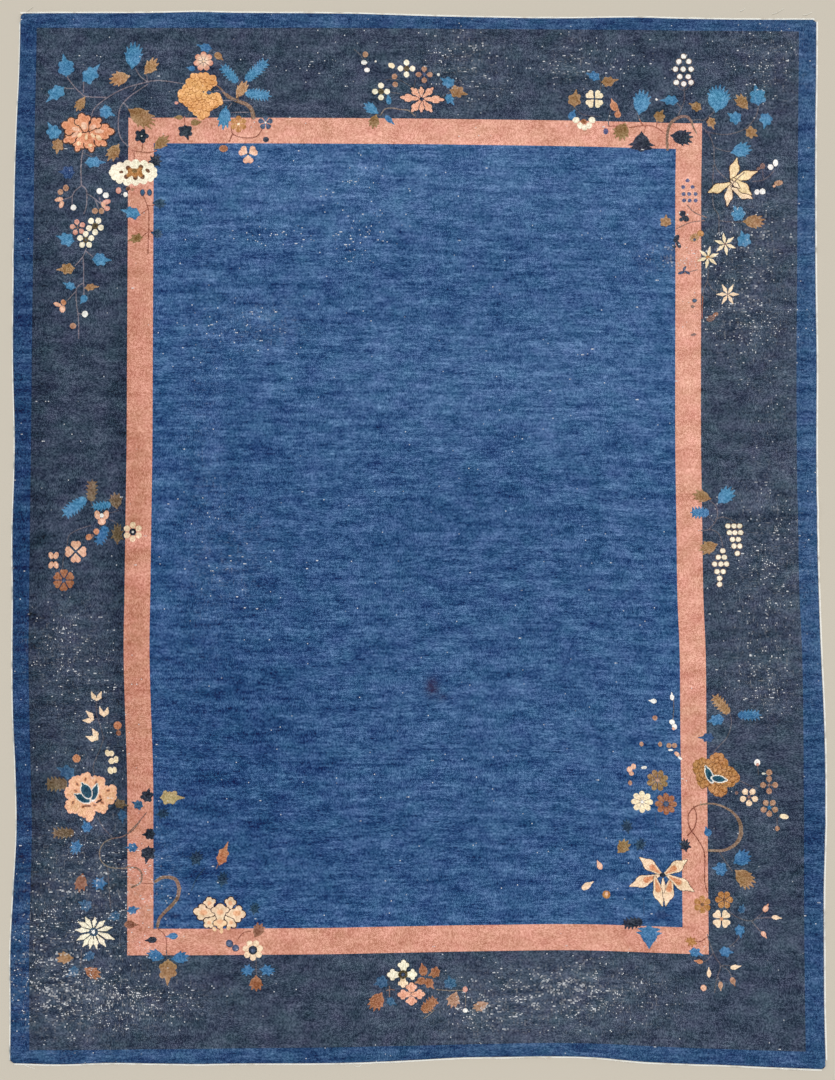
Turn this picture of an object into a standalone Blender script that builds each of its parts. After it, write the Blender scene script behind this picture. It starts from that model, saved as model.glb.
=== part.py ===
"""Room-size Chinese art deco rug, spread flat on a floor.

X is the rug's width and Y its length. Z points up and the underside lies at z = 0.
The origin is on the floor at the middle of the rug. All values are in metres.
"""
import math
import random

import bmesh
import bpy

# Driving dimensions
PILE_WIDTH = 2.744
PILE_LENGTH = 3.580
THICKNESS = 0.009        # cotton ground of 3 mm and worn wool pile of 6 mm
RIM_HEIGHT = 0.0055      # the pile's edge is upright up to here, then rounds over
RIM_ROUNDING = 0.004
CORNER_ROUNDING = 0.015
CORNER_PULL = 1 - math.sqrt(0.5)
GAP = 0.0003             # between pieces that touch

# Side edges of the pile, as uneven as the rug lies: x of each at places along the length
SIDE_COLUMNS = ("y", "left", "right")
SIDE_EDGES = (
    (-1.80, -1.375, 1.378),
    (-1.60, -1.375, 1.374),
    (-1.40, -1.377, 1.374),
    (-1.20, -1.368, 1.375),
    (-1.00, -1.359, 1.381),
    (-0.80, -1.364, 1.383),
    (-0.60, -1.374, 1.379),
    (-0.40, -1.377, 1.371),
    (-0.20, -1.377, 1.365),
    (0.00, -1.380, 1.361),
    (0.30, -1.374, 1.360),
    (0.60, -1.382, 1.363),
    (0.90, -1.382, 1.361),
    (1.20, -1.380, 1.362),
    (1.40, -1.375, 1.364),
    (1.60, -1.367, 1.368),
    (1.80, -1.364, 1.370),
)

# End edges of the pile: y of each at places across the width
END_COLUMNS = ("x", "bottom", "top")
END_EDGES = (
    (-1.38, -1.781, 1.797),
    (-1.20, -1.785, 1.798),
    (-1.05, -1.780, 1.798),
    (-0.90, -1.782, 1.799),
    (-0.75, -1.784, 1.802),
    (-0.60, -1.782, 1.799),
    (-0.30, -1.781, 1.797),
    (-0.15, -1.777, 1.794),
    (0.00, -1.770, 1.789),
    (0.15, -1.762, 1.785),
    (0.30, -1.760, 1.782),
    (0.45, -1.758, 1.780),
    (0.60, -1.762, 1.781),
    (0.75, -1.776, 1.783),
    (0.90, -1.783, 1.779),
    (1.05, -1.788, 1.776),
    (1.20, -1.795, 1.775),
    (1.38, -1.802, 1.775),
)

# Low ripples that run in from the side edges: where, how high, how wide and how far in
RIPPLE_COLUMNS = ("side", "y", "height", "spread", "reach")
RIPPLES = (
    ("left", 0.955, 0.0045, 0.026, 0.34),
    ("right", 0.085, 0.0060, 0.028, 0.40),
    ("right", -0.012, 0.0040, 0.020, 0.26),
    ("right", -0.975, 0.0040, 0.022, 0.20),
)
RIPPLE_ROWS = (-2.0, -1.1, -0.5, 0.0, 0.5, 1.1, 2.0)   # in spreads either side of a crest

# Grid of the flat body
ROW_SPACING = 0.12
MIDDLE_COLUMNS = 18
EDGE_COLUMNS = (0.0, 0.0055, 0.028, 0.06, 0.095)       # shares of the width, at both sides

# Overcast cords along the sides
CORD_RADIUS = {"left": 0.0020, "right": 0.0028}
CORD_SHORTFALL = 0.018

# Cotton webs with short worn warp ends
WEB_WIDTH = {"top": 0.0045, "bottom": 0.0055}
WEB_HEIGHT = 0.0025
WARP_END_COUNT = 100
WARP_END_LENGTH = (0.0020, 0.0065)
WARP_END_SHARE = (0.40, 0.80)                          # of the pitch, at the root
WEB_SHORTFALL = 0.012
SEED = 1925


def clear_scene():
    """Remove whatever the scene holds."""
    for thing in list(bpy.data.objects):
        bpy.data.objects.remove(thing, do_unlink=True)


def make_material(name, colour, roughness):
    """Plain wool or cotton surface."""
    material = bpy.data.materials.new(name)
    material.use_nodes = True
    shader = material.node_tree.nodes["Principled BSDF"]
    shader.inputs["Base Color"].default_value = (*colour, 1.0)
    shader.inputs["Roughness"].default_value = roughness
    shader.inputs["Metallic"].default_value = 0.0
    material.diffuse_color = (*colour, 1.0)
    return material


def smooth_value(table, column, place):
    """Read a column at any place, on a smooth curve through the table's rows."""
    last = len(table) - 1
    place = min(max(place, table[0][0]), table[last][0])
    row = 0
    while row < last - 1 and place > table[row + 1][0]:
        row += 1
    start, end = table[row], table[row + 1]
    before, after = table[max(row - 1, 0)], table[min(row + 2, last)]
    step = end[0] - start[0]
    slope_start = (end[column] - before[column]) / (end[0] - before[0])
    slope_end = (after[column] - start[column]) / (after[0] - start[0])
    t = (place - start[0]) / step
    return (
        start[column] * (1 + 2 * t) * (1 - t) ** 2
        + end[column] * t * t * (3 - 2 * t)
        + slope_start * step * t * (1 - t) ** 2
        - slope_end * step * t * t * (1 - t)
    )


def side_x(side, y):
    """Where the pile's left or right edge is at a place along the length."""
    return smooth_value(SIDE_EDGES, SIDE_COLUMNS.index(side), y)


def end_y(end, x):
    """Where the pile's top or bottom edge is at a place across the width."""
    return smooth_value(END_EDGES, END_COLUMNS.index(end), x)


def ripple_height(x, y):
    """How far the rug stands off the floor here."""
    height = 0.0
    for side, crest, rise, spread, reach in RIPPLES:
        inward = abs(x - side_x(side, y))
        if inward >= reach:
            continue
        fade = 1 - (inward / reach) ** 2
        height += rise * fade * fade * math.exp(-(((y - crest) / spread) ** 2))
    return height if height > 0.00004 else 0.0


def column_shares():
    """Places across the width, from 0 at the left edge to 1 at the right."""
    left = list(EDGE_COLUMNS)
    inner = 1 - 2 * left[-1]
    middle = [left[-1] + inner * step / MIDDLE_COLUMNS for step in range(1, MIDDLE_COLUMNS)]
    right = [1 - share for share in reversed(left)]
    return left + middle + right


def row_places():
    """Places along the length, closer together at the ends and over each ripple."""
    half = PILE_LENGTH / 2
    steps = round(PILE_LENGTH / ROW_SPACING)
    plain = [-half + PILE_LENGTH * step / steps for step in range(steps + 1)]
    rippled = [row[1] + row[3] * shift for row in RIPPLES for shift in RIPPLE_ROWS]
    ends = [-half + CORNER_ROUNDING, half - CORNER_ROUNDING]
    clear = ROW_SPACING * 0.4
    kept = [y for y in plain if all(abs(y - other) > clear for other in rippled)]
    kept = [y for y in kept if abs(abs(y) - half) > clear] + [-half, half]
    return sorted(kept + rippled + ends)


def flat_point(share, y):
    """Place on the floor plan of a share of the width at a row along the length."""
    x = (share - 0.5) * PILE_WIDTH
    along = y / PILE_LENGTH + 0.5
    plan_x = side_x("left", y) * (1 - share) + side_x("right", y) * share
    plan_y = end_y("bottom", x) * (1 - along) + end_y("top", x) * along
    return plan_x, plan_y


def build_rug_body():
    """The knotted rug itself: one flat solid with the photo's uneven outline."""
    shares = column_shares()
    rows = row_places()
    last_column, last_row = len(shares) - 1, len(rows) - 1
    mesh = bmesh.new()

    def layer(height, inset):
        """One grid of points at a height, its rim drawn in by an inset."""
        grid = []
        for j, y in enumerate(rows):
            line = []
            for i, share in enumerate(shares):
                plan_x, plan_y = flat_point(share, y)
                toward_x = (i == 0) - (i == last_column)
                toward_y = (j == 0) - (j == last_row)
                pull = CORNER_ROUNDING * CORNER_PULL if toward_x and toward_y else 0.0
                lift = ripple_height(plan_x, plan_y)
                plan_x += toward_x * (inset + pull)
                plan_y += toward_y * (inset + pull)
                line.append(mesh.verts.new((plan_x, plan_y, height + lift)))
            grid.append(line)
        return grid

    under = layer(0.0, 0.0)
    over = layer(THICKNESS, RIM_ROUNDING)
    for j in range(last_row):
        for i in range(last_column):
            mesh.faces.new((under[j][i], under[j + 1][i], under[j + 1][i + 1], under[j][i + 1]))
            mesh.faces.new((over[j][i], over[j][i + 1], over[j + 1][i + 1], over[j + 1][i]))

    def around(grid):
        """The rim's points in order, counter-clockwise from above."""
        near = grid[0][:-1]
        right = [line[-1] for line in grid[:-1]]
        far = grid[-1][:0:-1]
        left = [line[0] for line in grid[:0:-1]]
        return near + right + far + left

    lower, upper = around(under), around(over)
    middle = [mesh.verts.new((v.co.x, v.co.y, v.co.z + RIM_HEIGHT)) for v in lower]
    count = len(lower)
    for k in range(count):
        n = (k + 1) % count
        mesh.faces.new((lower[k], lower[n], middle[n], middle[k]))
        mesh.faces.new((middle[k], middle[n], upper[n], upper[k]))
    return finish(mesh, "rug_body", make_material("wool_pile", (0.075, 0.125, 0.25), 0.95))


def build_side_cord(side):
    """The overcast cord along one side, over the same rows as the body."""
    share = 0.0 if side == "left" else 1.0
    outward = -1 if side == "left" else 1
    radius = CORD_RADIUS[side]
    half = PILE_LENGTH / 2 - CORD_SHORTFALL
    rows = [y for y in row_places() if abs(y) < half]
    rows = [-half] + rows + [half]
    data = bpy.data.curves.new("side_cord_" + side, "CURVE")
    data.dimensions = "3D"
    data.bevel_depth = radius
    data.bevel_resolution = 2
    data.use_fill_caps = True
    spline = data.splines.new("POLY")
    spline.points.add(len(rows) - 1)
    for point, y in zip(spline.points, rows):
        plan_x, plan_y = flat_point(share, y)
        lift = ripple_height(plan_x, plan_y)
        point.co = (plan_x + outward * (radius + GAP), plan_y, radius + lift, 1.0)
    cord = bpy.data.objects.new("side_cord_" + side, data)
    bpy.context.collection.objects.link(cord)
    data.materials.append(make_material("overcast_" + side, (0.62, 0.56, 0.47), 0.9))
    return cord


def build_end_web(end):
    """The woven cotton strip past one end of the pile, with its short warp ends."""
    outward = -1 if end == "bottom" else 1
    chance = random.Random(SEED + outward)
    reach = PILE_WIDTH / 2 - WEB_SHORTFALL
    pitch = 2 * reach / WARP_END_COUNT
    shares = column_shares()
    end_row = outward * PILE_LENGTH / 2
    corners = [flat_point(share, end_row) for share in shares]

    def pile_edge(x):
        """The body's own straight run between two of its columns."""
        for (x0, y0), (x1, y1) in zip(corners, corners[1:]):
            if x <= x1:
                return y0 + (y1 - y0) * (x - x0) / (x1 - x0)
        return corners[-1][1]

    mesh = bmesh.new()

    def section(x):
        """Four points across the strip: inner low, outer low, outer high, inner high."""
        inner = pile_edge(x) + outward * GAP
        outer = inner + outward * WEB_WIDTH[end]
        places = ((inner, 0.0), (outer, 0.0), (outer, WEB_HEIGHT), (inner, WEB_HEIGHT))
        return [mesh.verts.new((x, y, z)) for y, z in places]

    sections, rooted = [], []
    for k in range(WARP_END_COUNT):
        share = chance.uniform(*WARP_END_SHARE)
        start = -reach + pitch * k + pitch * (1 - share) * chance.uniform(0.2, 0.8)
        sections += [section(start), section(start + pitch * share)]
        rooted += [True, False]
    for run, (a, b) in enumerate(zip(sections, sections[1:])):
        for low, high in ((0, 1), (2, 3), (3, 0)):
            mesh.faces.new((a[low], a[high], b[high], b[low]))
        if not rooted[run]:
            mesh.faces.new((a[1], a[2], b[2], b[1]))
            continue
        root = (a[1], a[2], b[2], b[1])
        length = chance.uniform(*WARP_END_LENGTH)
        tip_x = (a[1].co.x + b[1].co.x) / 2 + chance.uniform(-0.3, 0.3) * pitch
        tip_y = (a[1].co.y + b[1].co.y) / 2 + outward * length
        tip = mesh.verts.new((tip_x, tip_y, 0.0))
        for first, second in zip(root, root[1:] + root[:1]):
            mesh.faces.new((first, second, tip))
    mesh.faces.new(sections[0])
    mesh.faces.new(sections[-1])
    bmesh.ops.recalc_face_normals(mesh, faces=mesh.faces)
    return finish(mesh, "end_web_" + end, make_material("cotton_" + end, (0.72, 0.66, 0.54), 0.9))


def finish(mesh, name, material):
    """Turn a bmesh into a named object with its material."""
    data = bpy.data.meshes.new(name)
    mesh.to_mesh(data)
    mesh.free()
    data.materials.append(material)
    thing = bpy.data.objects.new(name, data)
    bpy.context.collection.objects.link(thing)
    return thing


def main():
    """Build every piece of the rug."""
    clear_scene()
    build_rug_body()
    for side in ("left", "right"):
        build_side_cord(side)
    for end in ("top", "bottom"):
        build_end_web(end)


main()
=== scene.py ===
"""Chinese art deco rug: pile, knotted sprays, side cords, worn ends, floor, light and camera.

The frame gives the rug's solids. X is its width and Y its length, and all lengths are in metres.
Places of motifs are read from the photo, in pixels of its 835 x 1080 frame.
"""

import math
import random

import bpy
import numpy as np
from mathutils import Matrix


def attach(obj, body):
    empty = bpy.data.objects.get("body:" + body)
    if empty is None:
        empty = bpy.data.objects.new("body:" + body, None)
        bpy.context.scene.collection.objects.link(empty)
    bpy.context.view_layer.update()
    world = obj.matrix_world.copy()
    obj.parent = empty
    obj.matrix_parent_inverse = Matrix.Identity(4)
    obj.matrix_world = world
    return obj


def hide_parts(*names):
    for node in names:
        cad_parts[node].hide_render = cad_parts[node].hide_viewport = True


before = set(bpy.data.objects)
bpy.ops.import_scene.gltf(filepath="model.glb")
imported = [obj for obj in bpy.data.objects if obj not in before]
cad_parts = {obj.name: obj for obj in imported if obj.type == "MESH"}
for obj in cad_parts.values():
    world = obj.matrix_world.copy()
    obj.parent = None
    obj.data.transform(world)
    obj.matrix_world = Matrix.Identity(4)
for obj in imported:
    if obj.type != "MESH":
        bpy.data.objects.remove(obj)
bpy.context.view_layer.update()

# Sizes of the rug, as in the solids
PILE_WIDTH = 2.744
PILE_LENGTH = 3.580
THICKNESS = 0.009
GAP = 0.0003
KNOT = 0.00339           # 90 knots to the foot, both ways
CELL = KNOT / 2          # the sprays' outlines step by half knots
SEED = 1925

# Straight lines of the weave, as it was on the loom
BAND_HALF_WIDTH = 13 * KNOT
EDGE_U, GUARD_U, BAND_U = PILE_WIDTH / 2, 1.313, 0.940
EDGE_V, GUARD_V, BAND_V = PILE_LENGTH / 2, 1.733, 1.376
LINES_U = (-EDGE_U, -GUARD_U, -BAND_U, BAND_U, GUARD_U, EDGE_U)
LINES_V = (-EDGE_V, -GUARD_V, -BAND_V, BAND_V, GUARD_V, EDGE_V)

# Where those lines lie on the floor: x of each lengthwise line at places y along the length
SIDE_COLUMNS = ("y", "left", "left_guard", "left_band", "right_band", "right_guard", "right")
SIDE_LINES = (
    (-1.80, -1.375, -1.310, -0.938, 0.942, 1.312, 1.378),
    (-1.60, -1.375, -1.312, -0.938, 0.942, 1.310, 1.374),
    (-1.40, -1.377, -1.314, -0.938, 0.942, 1.309, 1.374),
    (-1.20, -1.368, -1.311, -0.939, 0.941, 1.309, 1.375),
    (-1.00, -1.359, -1.308, -0.940, 0.940, 1.310, 1.381),
    (-0.80, -1.364, -1.313, -0.942, 0.938, 1.310, 1.383),
    (-0.60, -1.374, -1.319, -0.950, 0.937, 1.310, 1.379),
    (-0.40, -1.377, -1.323, -0.956, 0.936, 1.308, 1.371),
    (-0.20, -1.377, -1.322, -0.954, 0.929, 1.300, 1.365),
    (0.00, -1.380, -1.321, -0.952, 0.927, 1.297, 1.361),
    (0.30, -1.374, -1.319, -0.949, 0.924, 1.294, 1.360),
    (0.60, -1.382, -1.318, -0.949, 0.925, 1.295, 1.363),
    (0.90, -1.382, -1.316, -0.949, 0.927, 1.299, 1.361),
    (1.20, -1.380, -1.314, -0.949, 0.928, 1.303, 1.362),
    (1.40, -1.375, -1.313, -0.949, 0.932, 1.306, 1.364),
    (1.60, -1.367, -1.310, -0.949, 0.933, 1.309, 1.368),
    (1.80, -1.364, -1.308, -0.949, 0.933, 1.312, 1.370),
)

# And y of each crosswise line at places x across the width
END_COLUMNS = ("x", "bottom", "bottom_guard", "bottom_band", "top_band", "top_guard", "top")
END_LINES = (
    (-1.38, -1.781, -1.737, -1.374, 1.390, 1.746, 1.797),
    (-1.20, -1.785, -1.737, -1.374, 1.390, 1.746, 1.798),
    (-1.05, -1.780, -1.736, -1.374, 1.390, 1.746, 1.798),
    (-0.90, -1.782, -1.734, -1.373, 1.390, 1.746, 1.799),
    (-0.75, -1.784, -1.733, -1.373, 1.390, 1.746, 1.802),
    (-0.60, -1.782, -1.731, -1.372, 1.390, 1.746, 1.799),
    (-0.30, -1.781, -1.728, -1.370, 1.389, 1.746, 1.797),
    (-0.15, -1.777, -1.725, -1.367, 1.388, 1.745, 1.794),
    (0.00, -1.770, -1.722, -1.364, 1.387, 1.744, 1.789),
    (0.15, -1.762, -1.718, -1.361, 1.385, 1.743, 1.785),
    (0.30, -1.760, -1.715, -1.359, 1.383, 1.742, 1.782),
    (0.45, -1.758, -1.713, -1.357, 1.381, 1.741, 1.780),
    (0.60, -1.762, -1.715, -1.358, 1.378, 1.740, 1.781),
    (0.75, -1.776, -1.722, -1.363, 1.374, 1.739, 1.783),
    (0.90, -1.783, -1.729, -1.368, 1.370, 1.737, 1.779),
    (1.05, -1.788, -1.734, -1.371, 1.369, 1.736, 1.776),
    (1.20, -1.795, -1.739, -1.371, 1.369, 1.735, 1.775),
    (1.38, -1.802, -1.744, -1.371, 1.369, 1.733, 1.775),
)

# Low ripples that run in from the side edges, as in the solids: side, y, height, spread, reach
RIPPLES = (
    ("left", 0.955, 0.0045, 0.026, 0.34),
    ("right", 0.085, 0.0060, 0.028, 0.40),
    ("right", -0.012, 0.0040, 0.020, 0.26),
    ("right", -0.975, 0.0040, 0.022, 0.20),
)

# Camera: nearly straight down, its lower edge a little nearer
PHOTO_WIDTH, PHOTO_HEIGHT = 835, 1080
LENS, SENSOR = 50.0, 36.0
CAMERA_DISTANCE = 5.106
CAMERA_TILT = math.radians(1.46)
AIM_Y = -0.014
FOCAL_PIXELS = LENS / SENSOR * PHOTO_HEIGHT

# Plain floor, an even room and one soft light
FLOOR_HALF = 12.0
FLOOR_DROP = 0.0002
FLOOR_COLOUR = (208, 200, 185)
ROOM_LIGHT = 0.55
KEY_LIGHT = 1.50
KEY_SPREAD = math.radians(40)
KEY_TURN = (math.radians(-27), math.radians(9), 0)


def smooth_values(table, column, places):
    """Read a column at any places, on a smooth curve through the table's rows."""
    rows = np.array(table)
    stations, values = rows[:, 0], rows[:, column]
    slopes = np.gradient(values)
    slopes[1:-1] = (values[2:] - values[:-2]) / (stations[2:] - stations[:-2])
    slopes[0] = (values[1] - values[0]) / (stations[1] - stations[0])
    slopes[-1] = (values[-1] - values[-2]) / (stations[-1] - stations[-2])
    places = np.clip(np.asarray(places, float), stations[0], stations[-1])
    row = np.clip(np.searchsorted(stations, places, side="left") - 1, 0, len(stations) - 2)
    step = stations[row + 1] - stations[row]
    t = (places - stations[row]) / step
    return (
        values[row] * (1 + 2 * t) * (1 - t) ** 2
        + values[row + 1] * t * t * (3 - 2 * t)
        + slopes[row] * step * t * (1 - t) ** 2
        - slopes[row + 1] * step * t * t * (1 - t)
    )


def between_lines(places, lines, values):
    """Straight reading between six lines, past the outer two as well."""
    places = np.asarray(places, float)
    result = np.zeros(places.shape)
    for k in range(len(lines) - 1):
        low, high = lines[k], lines[k + 1]
        inside = (places >= low) | (k == 0)
        inside &= (places < high) | (k == len(lines) - 2)
        share = (places - low) / (high - low)
        result = np.where(inside, values[k] + (values[k + 1] - values[k]) * share, result)
    return result


def loom_to_floor(u, v):
    """Where points of the weave lie on the floor."""
    u, v = np.broadcast_arrays(np.asarray(u, float), np.asarray(v, float))
    side = [smooth_values(SIDE_LINES, k, v) for k in range(1, len(SIDE_COLUMNS))]
    end = [smooth_values(END_LINES, k, u) for k in range(1, len(END_COLUMNS))]
    return between_lines(u, LINES_U, side), between_lines(v, LINES_V, end)


def floor_to_loom(x, y):
    """The point of the weave that lies at a place on the floor."""
    side = [smooth_values(SIDE_LINES, k, y) for k in range(1, len(SIDE_COLUMNS))]
    end = [smooth_values(END_LINES, k, x) for k in range(1, len(END_COLUMNS))]
    return between_lines(x, side, LINES_U), between_lines(y, end, LINES_V)


def photo_to_floor(px, py):
    """The place on top of the pile that a pixel of the photo shows."""
    across = (px + 0.5 - PHOTO_WIDTH / 2) / FOCAL_PIXELS
    up = (PHOTO_HEIGHT / 2 - py - 0.5) / FOCAL_PIXELS
    tilt_sin, tilt_cos = math.sin(CAMERA_TILT), math.cos(CAMERA_TILT)
    reach = CAMERA_DISTANCE * tilt_cos / (tilt_cos - up * tilt_sin)
    x = across * reach
    y = (up * tilt_cos + tilt_sin) * reach - CAMERA_DISTANCE * tilt_sin
    return x, y + AIM_Y


def photo_to_knots(px, py):
    """The same place in knots from the middle of the weave."""
    u, v = floor_to_loom(*photo_to_floor(px, py))
    return float(u) / KNOT, float(v) / KNOT


def side_x(side, y):
    """Where the pile's left or right edge is."""
    return smooth_values(SIDE_LINES, SIDE_COLUMNS.index(side), y)


def end_y(end, x):
    """Where the pile's top or bottom edge is."""
    return smooth_values(END_LINES, END_COLUMNS.index(end), x)


def ripple_height(x, y):
    """How far the rug stands off the floor."""
    height = np.zeros(np.broadcast(x, y).shape)
    for side, crest, rise, spread, reach in RIPPLES:
        inward = np.abs(x - side_x(side, y))
        fade = np.clip(1 - (inward / reach) ** 2, 0, 1)
        height = height + rise * fade * fade * np.exp(-(((y - crest) / spread) ** 2))
    return height


# Soft patches: x and y in the photo, radii across and along in knots, amount
# Worn patches first, where cotton shows between the knots
WEAR_PATCHES = (
    (462, 58, 38, 30, 0.56),
    (480, 92, 30, 16, 0.26),
    (570, 64, 26, 26, 0.50),
    (770, 62, 40, 40, 0.46),
    (750, 240, 44, 50, 0.50),
    (745, 320, 50, 40, 0.52),
    (770, 400, 30, 50, 0.20),
    (765, 560, 40, 90, 0.50),
    (762, 680, 34, 40, 0.50),
    (675, 256, 34, 16, 0.62),
    (60, 640, 40, 40, 0.40),
    (90, 720, 60, 90, 0.26),
    (75, 880, 60, 60, 0.46),
    (80, 1000, 64, 40, 0.78),
    (165, 1000, 60, 20, 0.50),
    (45, 950, 36, 50, 0.42),
    (140, 900, 40, 60, 0.36),
    (580, 985, 44, 30, 0.60),
    (520, 1000, 66, 34, 0.62),
    (470, 1015, 30, 24, 0.40),
    (640, 1000, 40, 30, 0.44),
    (265, 325, 34, 22, 0.44),
    (235, 560, 30, 60, 0.24),
    (200, 480, 20, 200, 0.16),
)

# Broad patches of lighter and darker tone, lighter above zero and darker below
DRIFTS = (
    (480, 380, 190, 60, 0.24),
    (420, 180, 300, 50, 0.30),
    (230, 740, 110, 170, -0.40),
    (430, 860, 240, 60, -0.10),
    (540, 1000, 110, 60, 0.18),
    (230, 470, 90, 100, -0.14),
    (470, 530, 90, 90, -0.10),
    (600, 330, 90, 110, 0.10),
    (20, 520, 26, 420, -0.50),
    (20, 900, 24, 160, -0.20),
    (815, 420, 26, 420, 0.28),
    (813, 860, 26, 130, -0.22),
    (130, 500, 18, 380, -0.40),
    (80, 480, 34, 260, -0.10),
    (400, 1066, 360, 12, -0.24),
    (700, 500, 22, 420, 0.10),
    (420, 137, 300, 16, 0.10),
    (420, 942, 300, 18, -0.04),
)

# Painted shade and light of the creases that run in from the sides, as narrow patches: darker where a
# crease turns from the light, lighter where it faces it; the last row is a long narrow darker strip down
# the right side
CREASE_SHADE_AND_LIGHT = (
    (760, 518, 34, 4.5, -0.42),
    (760, 503, 36, 6.0, 0.26),
    (815, 515, 8.0, 5.0, -0.25),
    (790, 540, 9.0, 4.0, -0.40),
    (808, 468, 6.0, 7.0, -0.36),
    (804, 288, 6.0, 8.0, -0.42),
    (790, 303, 20, 2.5, -0.18),
    (792, 828, 12, 2.5, -0.40),
    (798, 917, 30, 4.0, 0.16),
    (790, 935, 40, 16, 0.14),
    (55, 259, 46, 4.0, -0.24),
    (55, 250, 46, 4.0, 0.16),
    (28, 1059, 12, 2.5, -0.40),
    (803, 500, 3.5, 400, -0.14),
)

# Small scatters of bare knots in sound pile, and one stain
BARE_SCATTERS = (
    (358, 176, 24, 9, 0.9),
    (362, 228, 26, 20, 1.0),
    (352, 248, 16, 10, 1.0),
    (268, 234, 30, 9, 0.8),
    (330, 200, 16, 16, 0.5),
    (205, 330, 40, 30, 0.4),
    (330, 60, 30, 20, 0.5),
    (600, 60, 60, 20, 0.6),
)
STAINS = (
    (431.5, 687, 6.5, 9.0, 1.0),
    (442, 697, 4.5, 4.0, 0.5),
)


def patch_sum(patches, u, v):
    """Sum of soft round patches at points of the weave."""
    total = np.zeros(np.broadcast(u, v).shape)
    for px, py, radius_x, radius_y, amount in patches:
        a, b = photo_to_knots(px, py)
        across = (u / KNOT - a) / radius_x
        along = (v / KNOT - b) / radius_y
        total = total + amount * np.exp(-(across**2) - along**2)
    return total


def wear_at(u, v):
    """How worn the pile is, from 0 to 1."""
    return np.clip(patch_sum(WEAR_PATCHES, u, v), 0, 1)


# Gentle unevenness of the pile: a few long waves in set directions
WAVE_COUNT = 12
WAVE_LENGTHS = (0.14, 0.60)
WAVE_HEIGHT = 0.00011


def unevenness(x, y):
    """Small swells of the pile's surface."""
    chance = random.Random(SEED)
    height = np.zeros(np.broadcast(x, y).shape)
    for _ in range(WAVE_COUNT):
        turn = chance.uniform(0, math.pi)
        length = chance.uniform(*WAVE_LENGTHS)
        phase = chance.uniform(0, math.tau)
        along = x * math.cos(turn) + y * math.sin(turn)
        height = height + WAVE_HEIGHT * np.sin(math.tau * along / length + phase)
    return height


WEAR_DEPTH = 0.0012


def pile_top(x, y, u, v):
    """Height of the pile's surface above the floor."""
    return THICKNESS + ripple_height(x, y) + unevenness(x, y) - WEAR_DEPTH * wear_at(u, v)


def add_values(mesh, name, kind, values):
    """Store one value for each vertex."""
    layer = mesh.attributes.new(name, kind, "POINT")
    key = "vector" if kind == "FLOAT_VECTOR" else "value"
    layer.data.foreach_set(key, np.asarray(values, np.float32).ravel())


def add_loom_values(mesh, u, v):
    """Give a mesh the places of its vertices in the weave, their wear and their dye."""
    weave = np.stack([u, v, np.zeros(len(u))], axis=1)
    add_values(mesh, "weave", "FLOAT_VECTOR", weave)
    add_values(mesh, "wear", "FLOAT", wear_at(u, v))
    # Broad tone patches, and the painted shade and light of the creases
    add_values(mesh, "tone_and_crease_shade", "FLOAT", patch_sum(DRIFTS + CREASE_SHADE_AND_LIGHT, u, v))
    add_values(mesh, "scatter", "FLOAT", patch_sum(BARE_SCATTERS, u, v))
    add_values(mesh, "stain", "FLOAT", patch_sum(STAINS, u, v))


def make_object(name, mesh, material):
    """Put a mesh in the scene."""
    mesh.materials.append(material)
    thing = bpy.data.objects.new(name, mesh)
    bpy.context.collection.objects.link(thing)
    return thing


# Pile: a fine top, a rounded rim and a coarse back
TOP_COLUMNS, TOP_ROWS = 244, 318
BACK_SHARES = (0.0, 0.03, 0.06, 0.10, 0.15, 0.30, 0.50, 0.70, 0.85, 0.90, 0.94, 0.97, 1.0)
RIM_STEPS = (             # inset and share of the thickness, from the floor up
    (0.0000, 0.00),
    (-0.0002, 0.35),
    (0.0004, 0.66),
    (0.0018, 0.88),
)
RIM_INSET = 0.0045
CORNER_PULL = 0.0044


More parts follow.
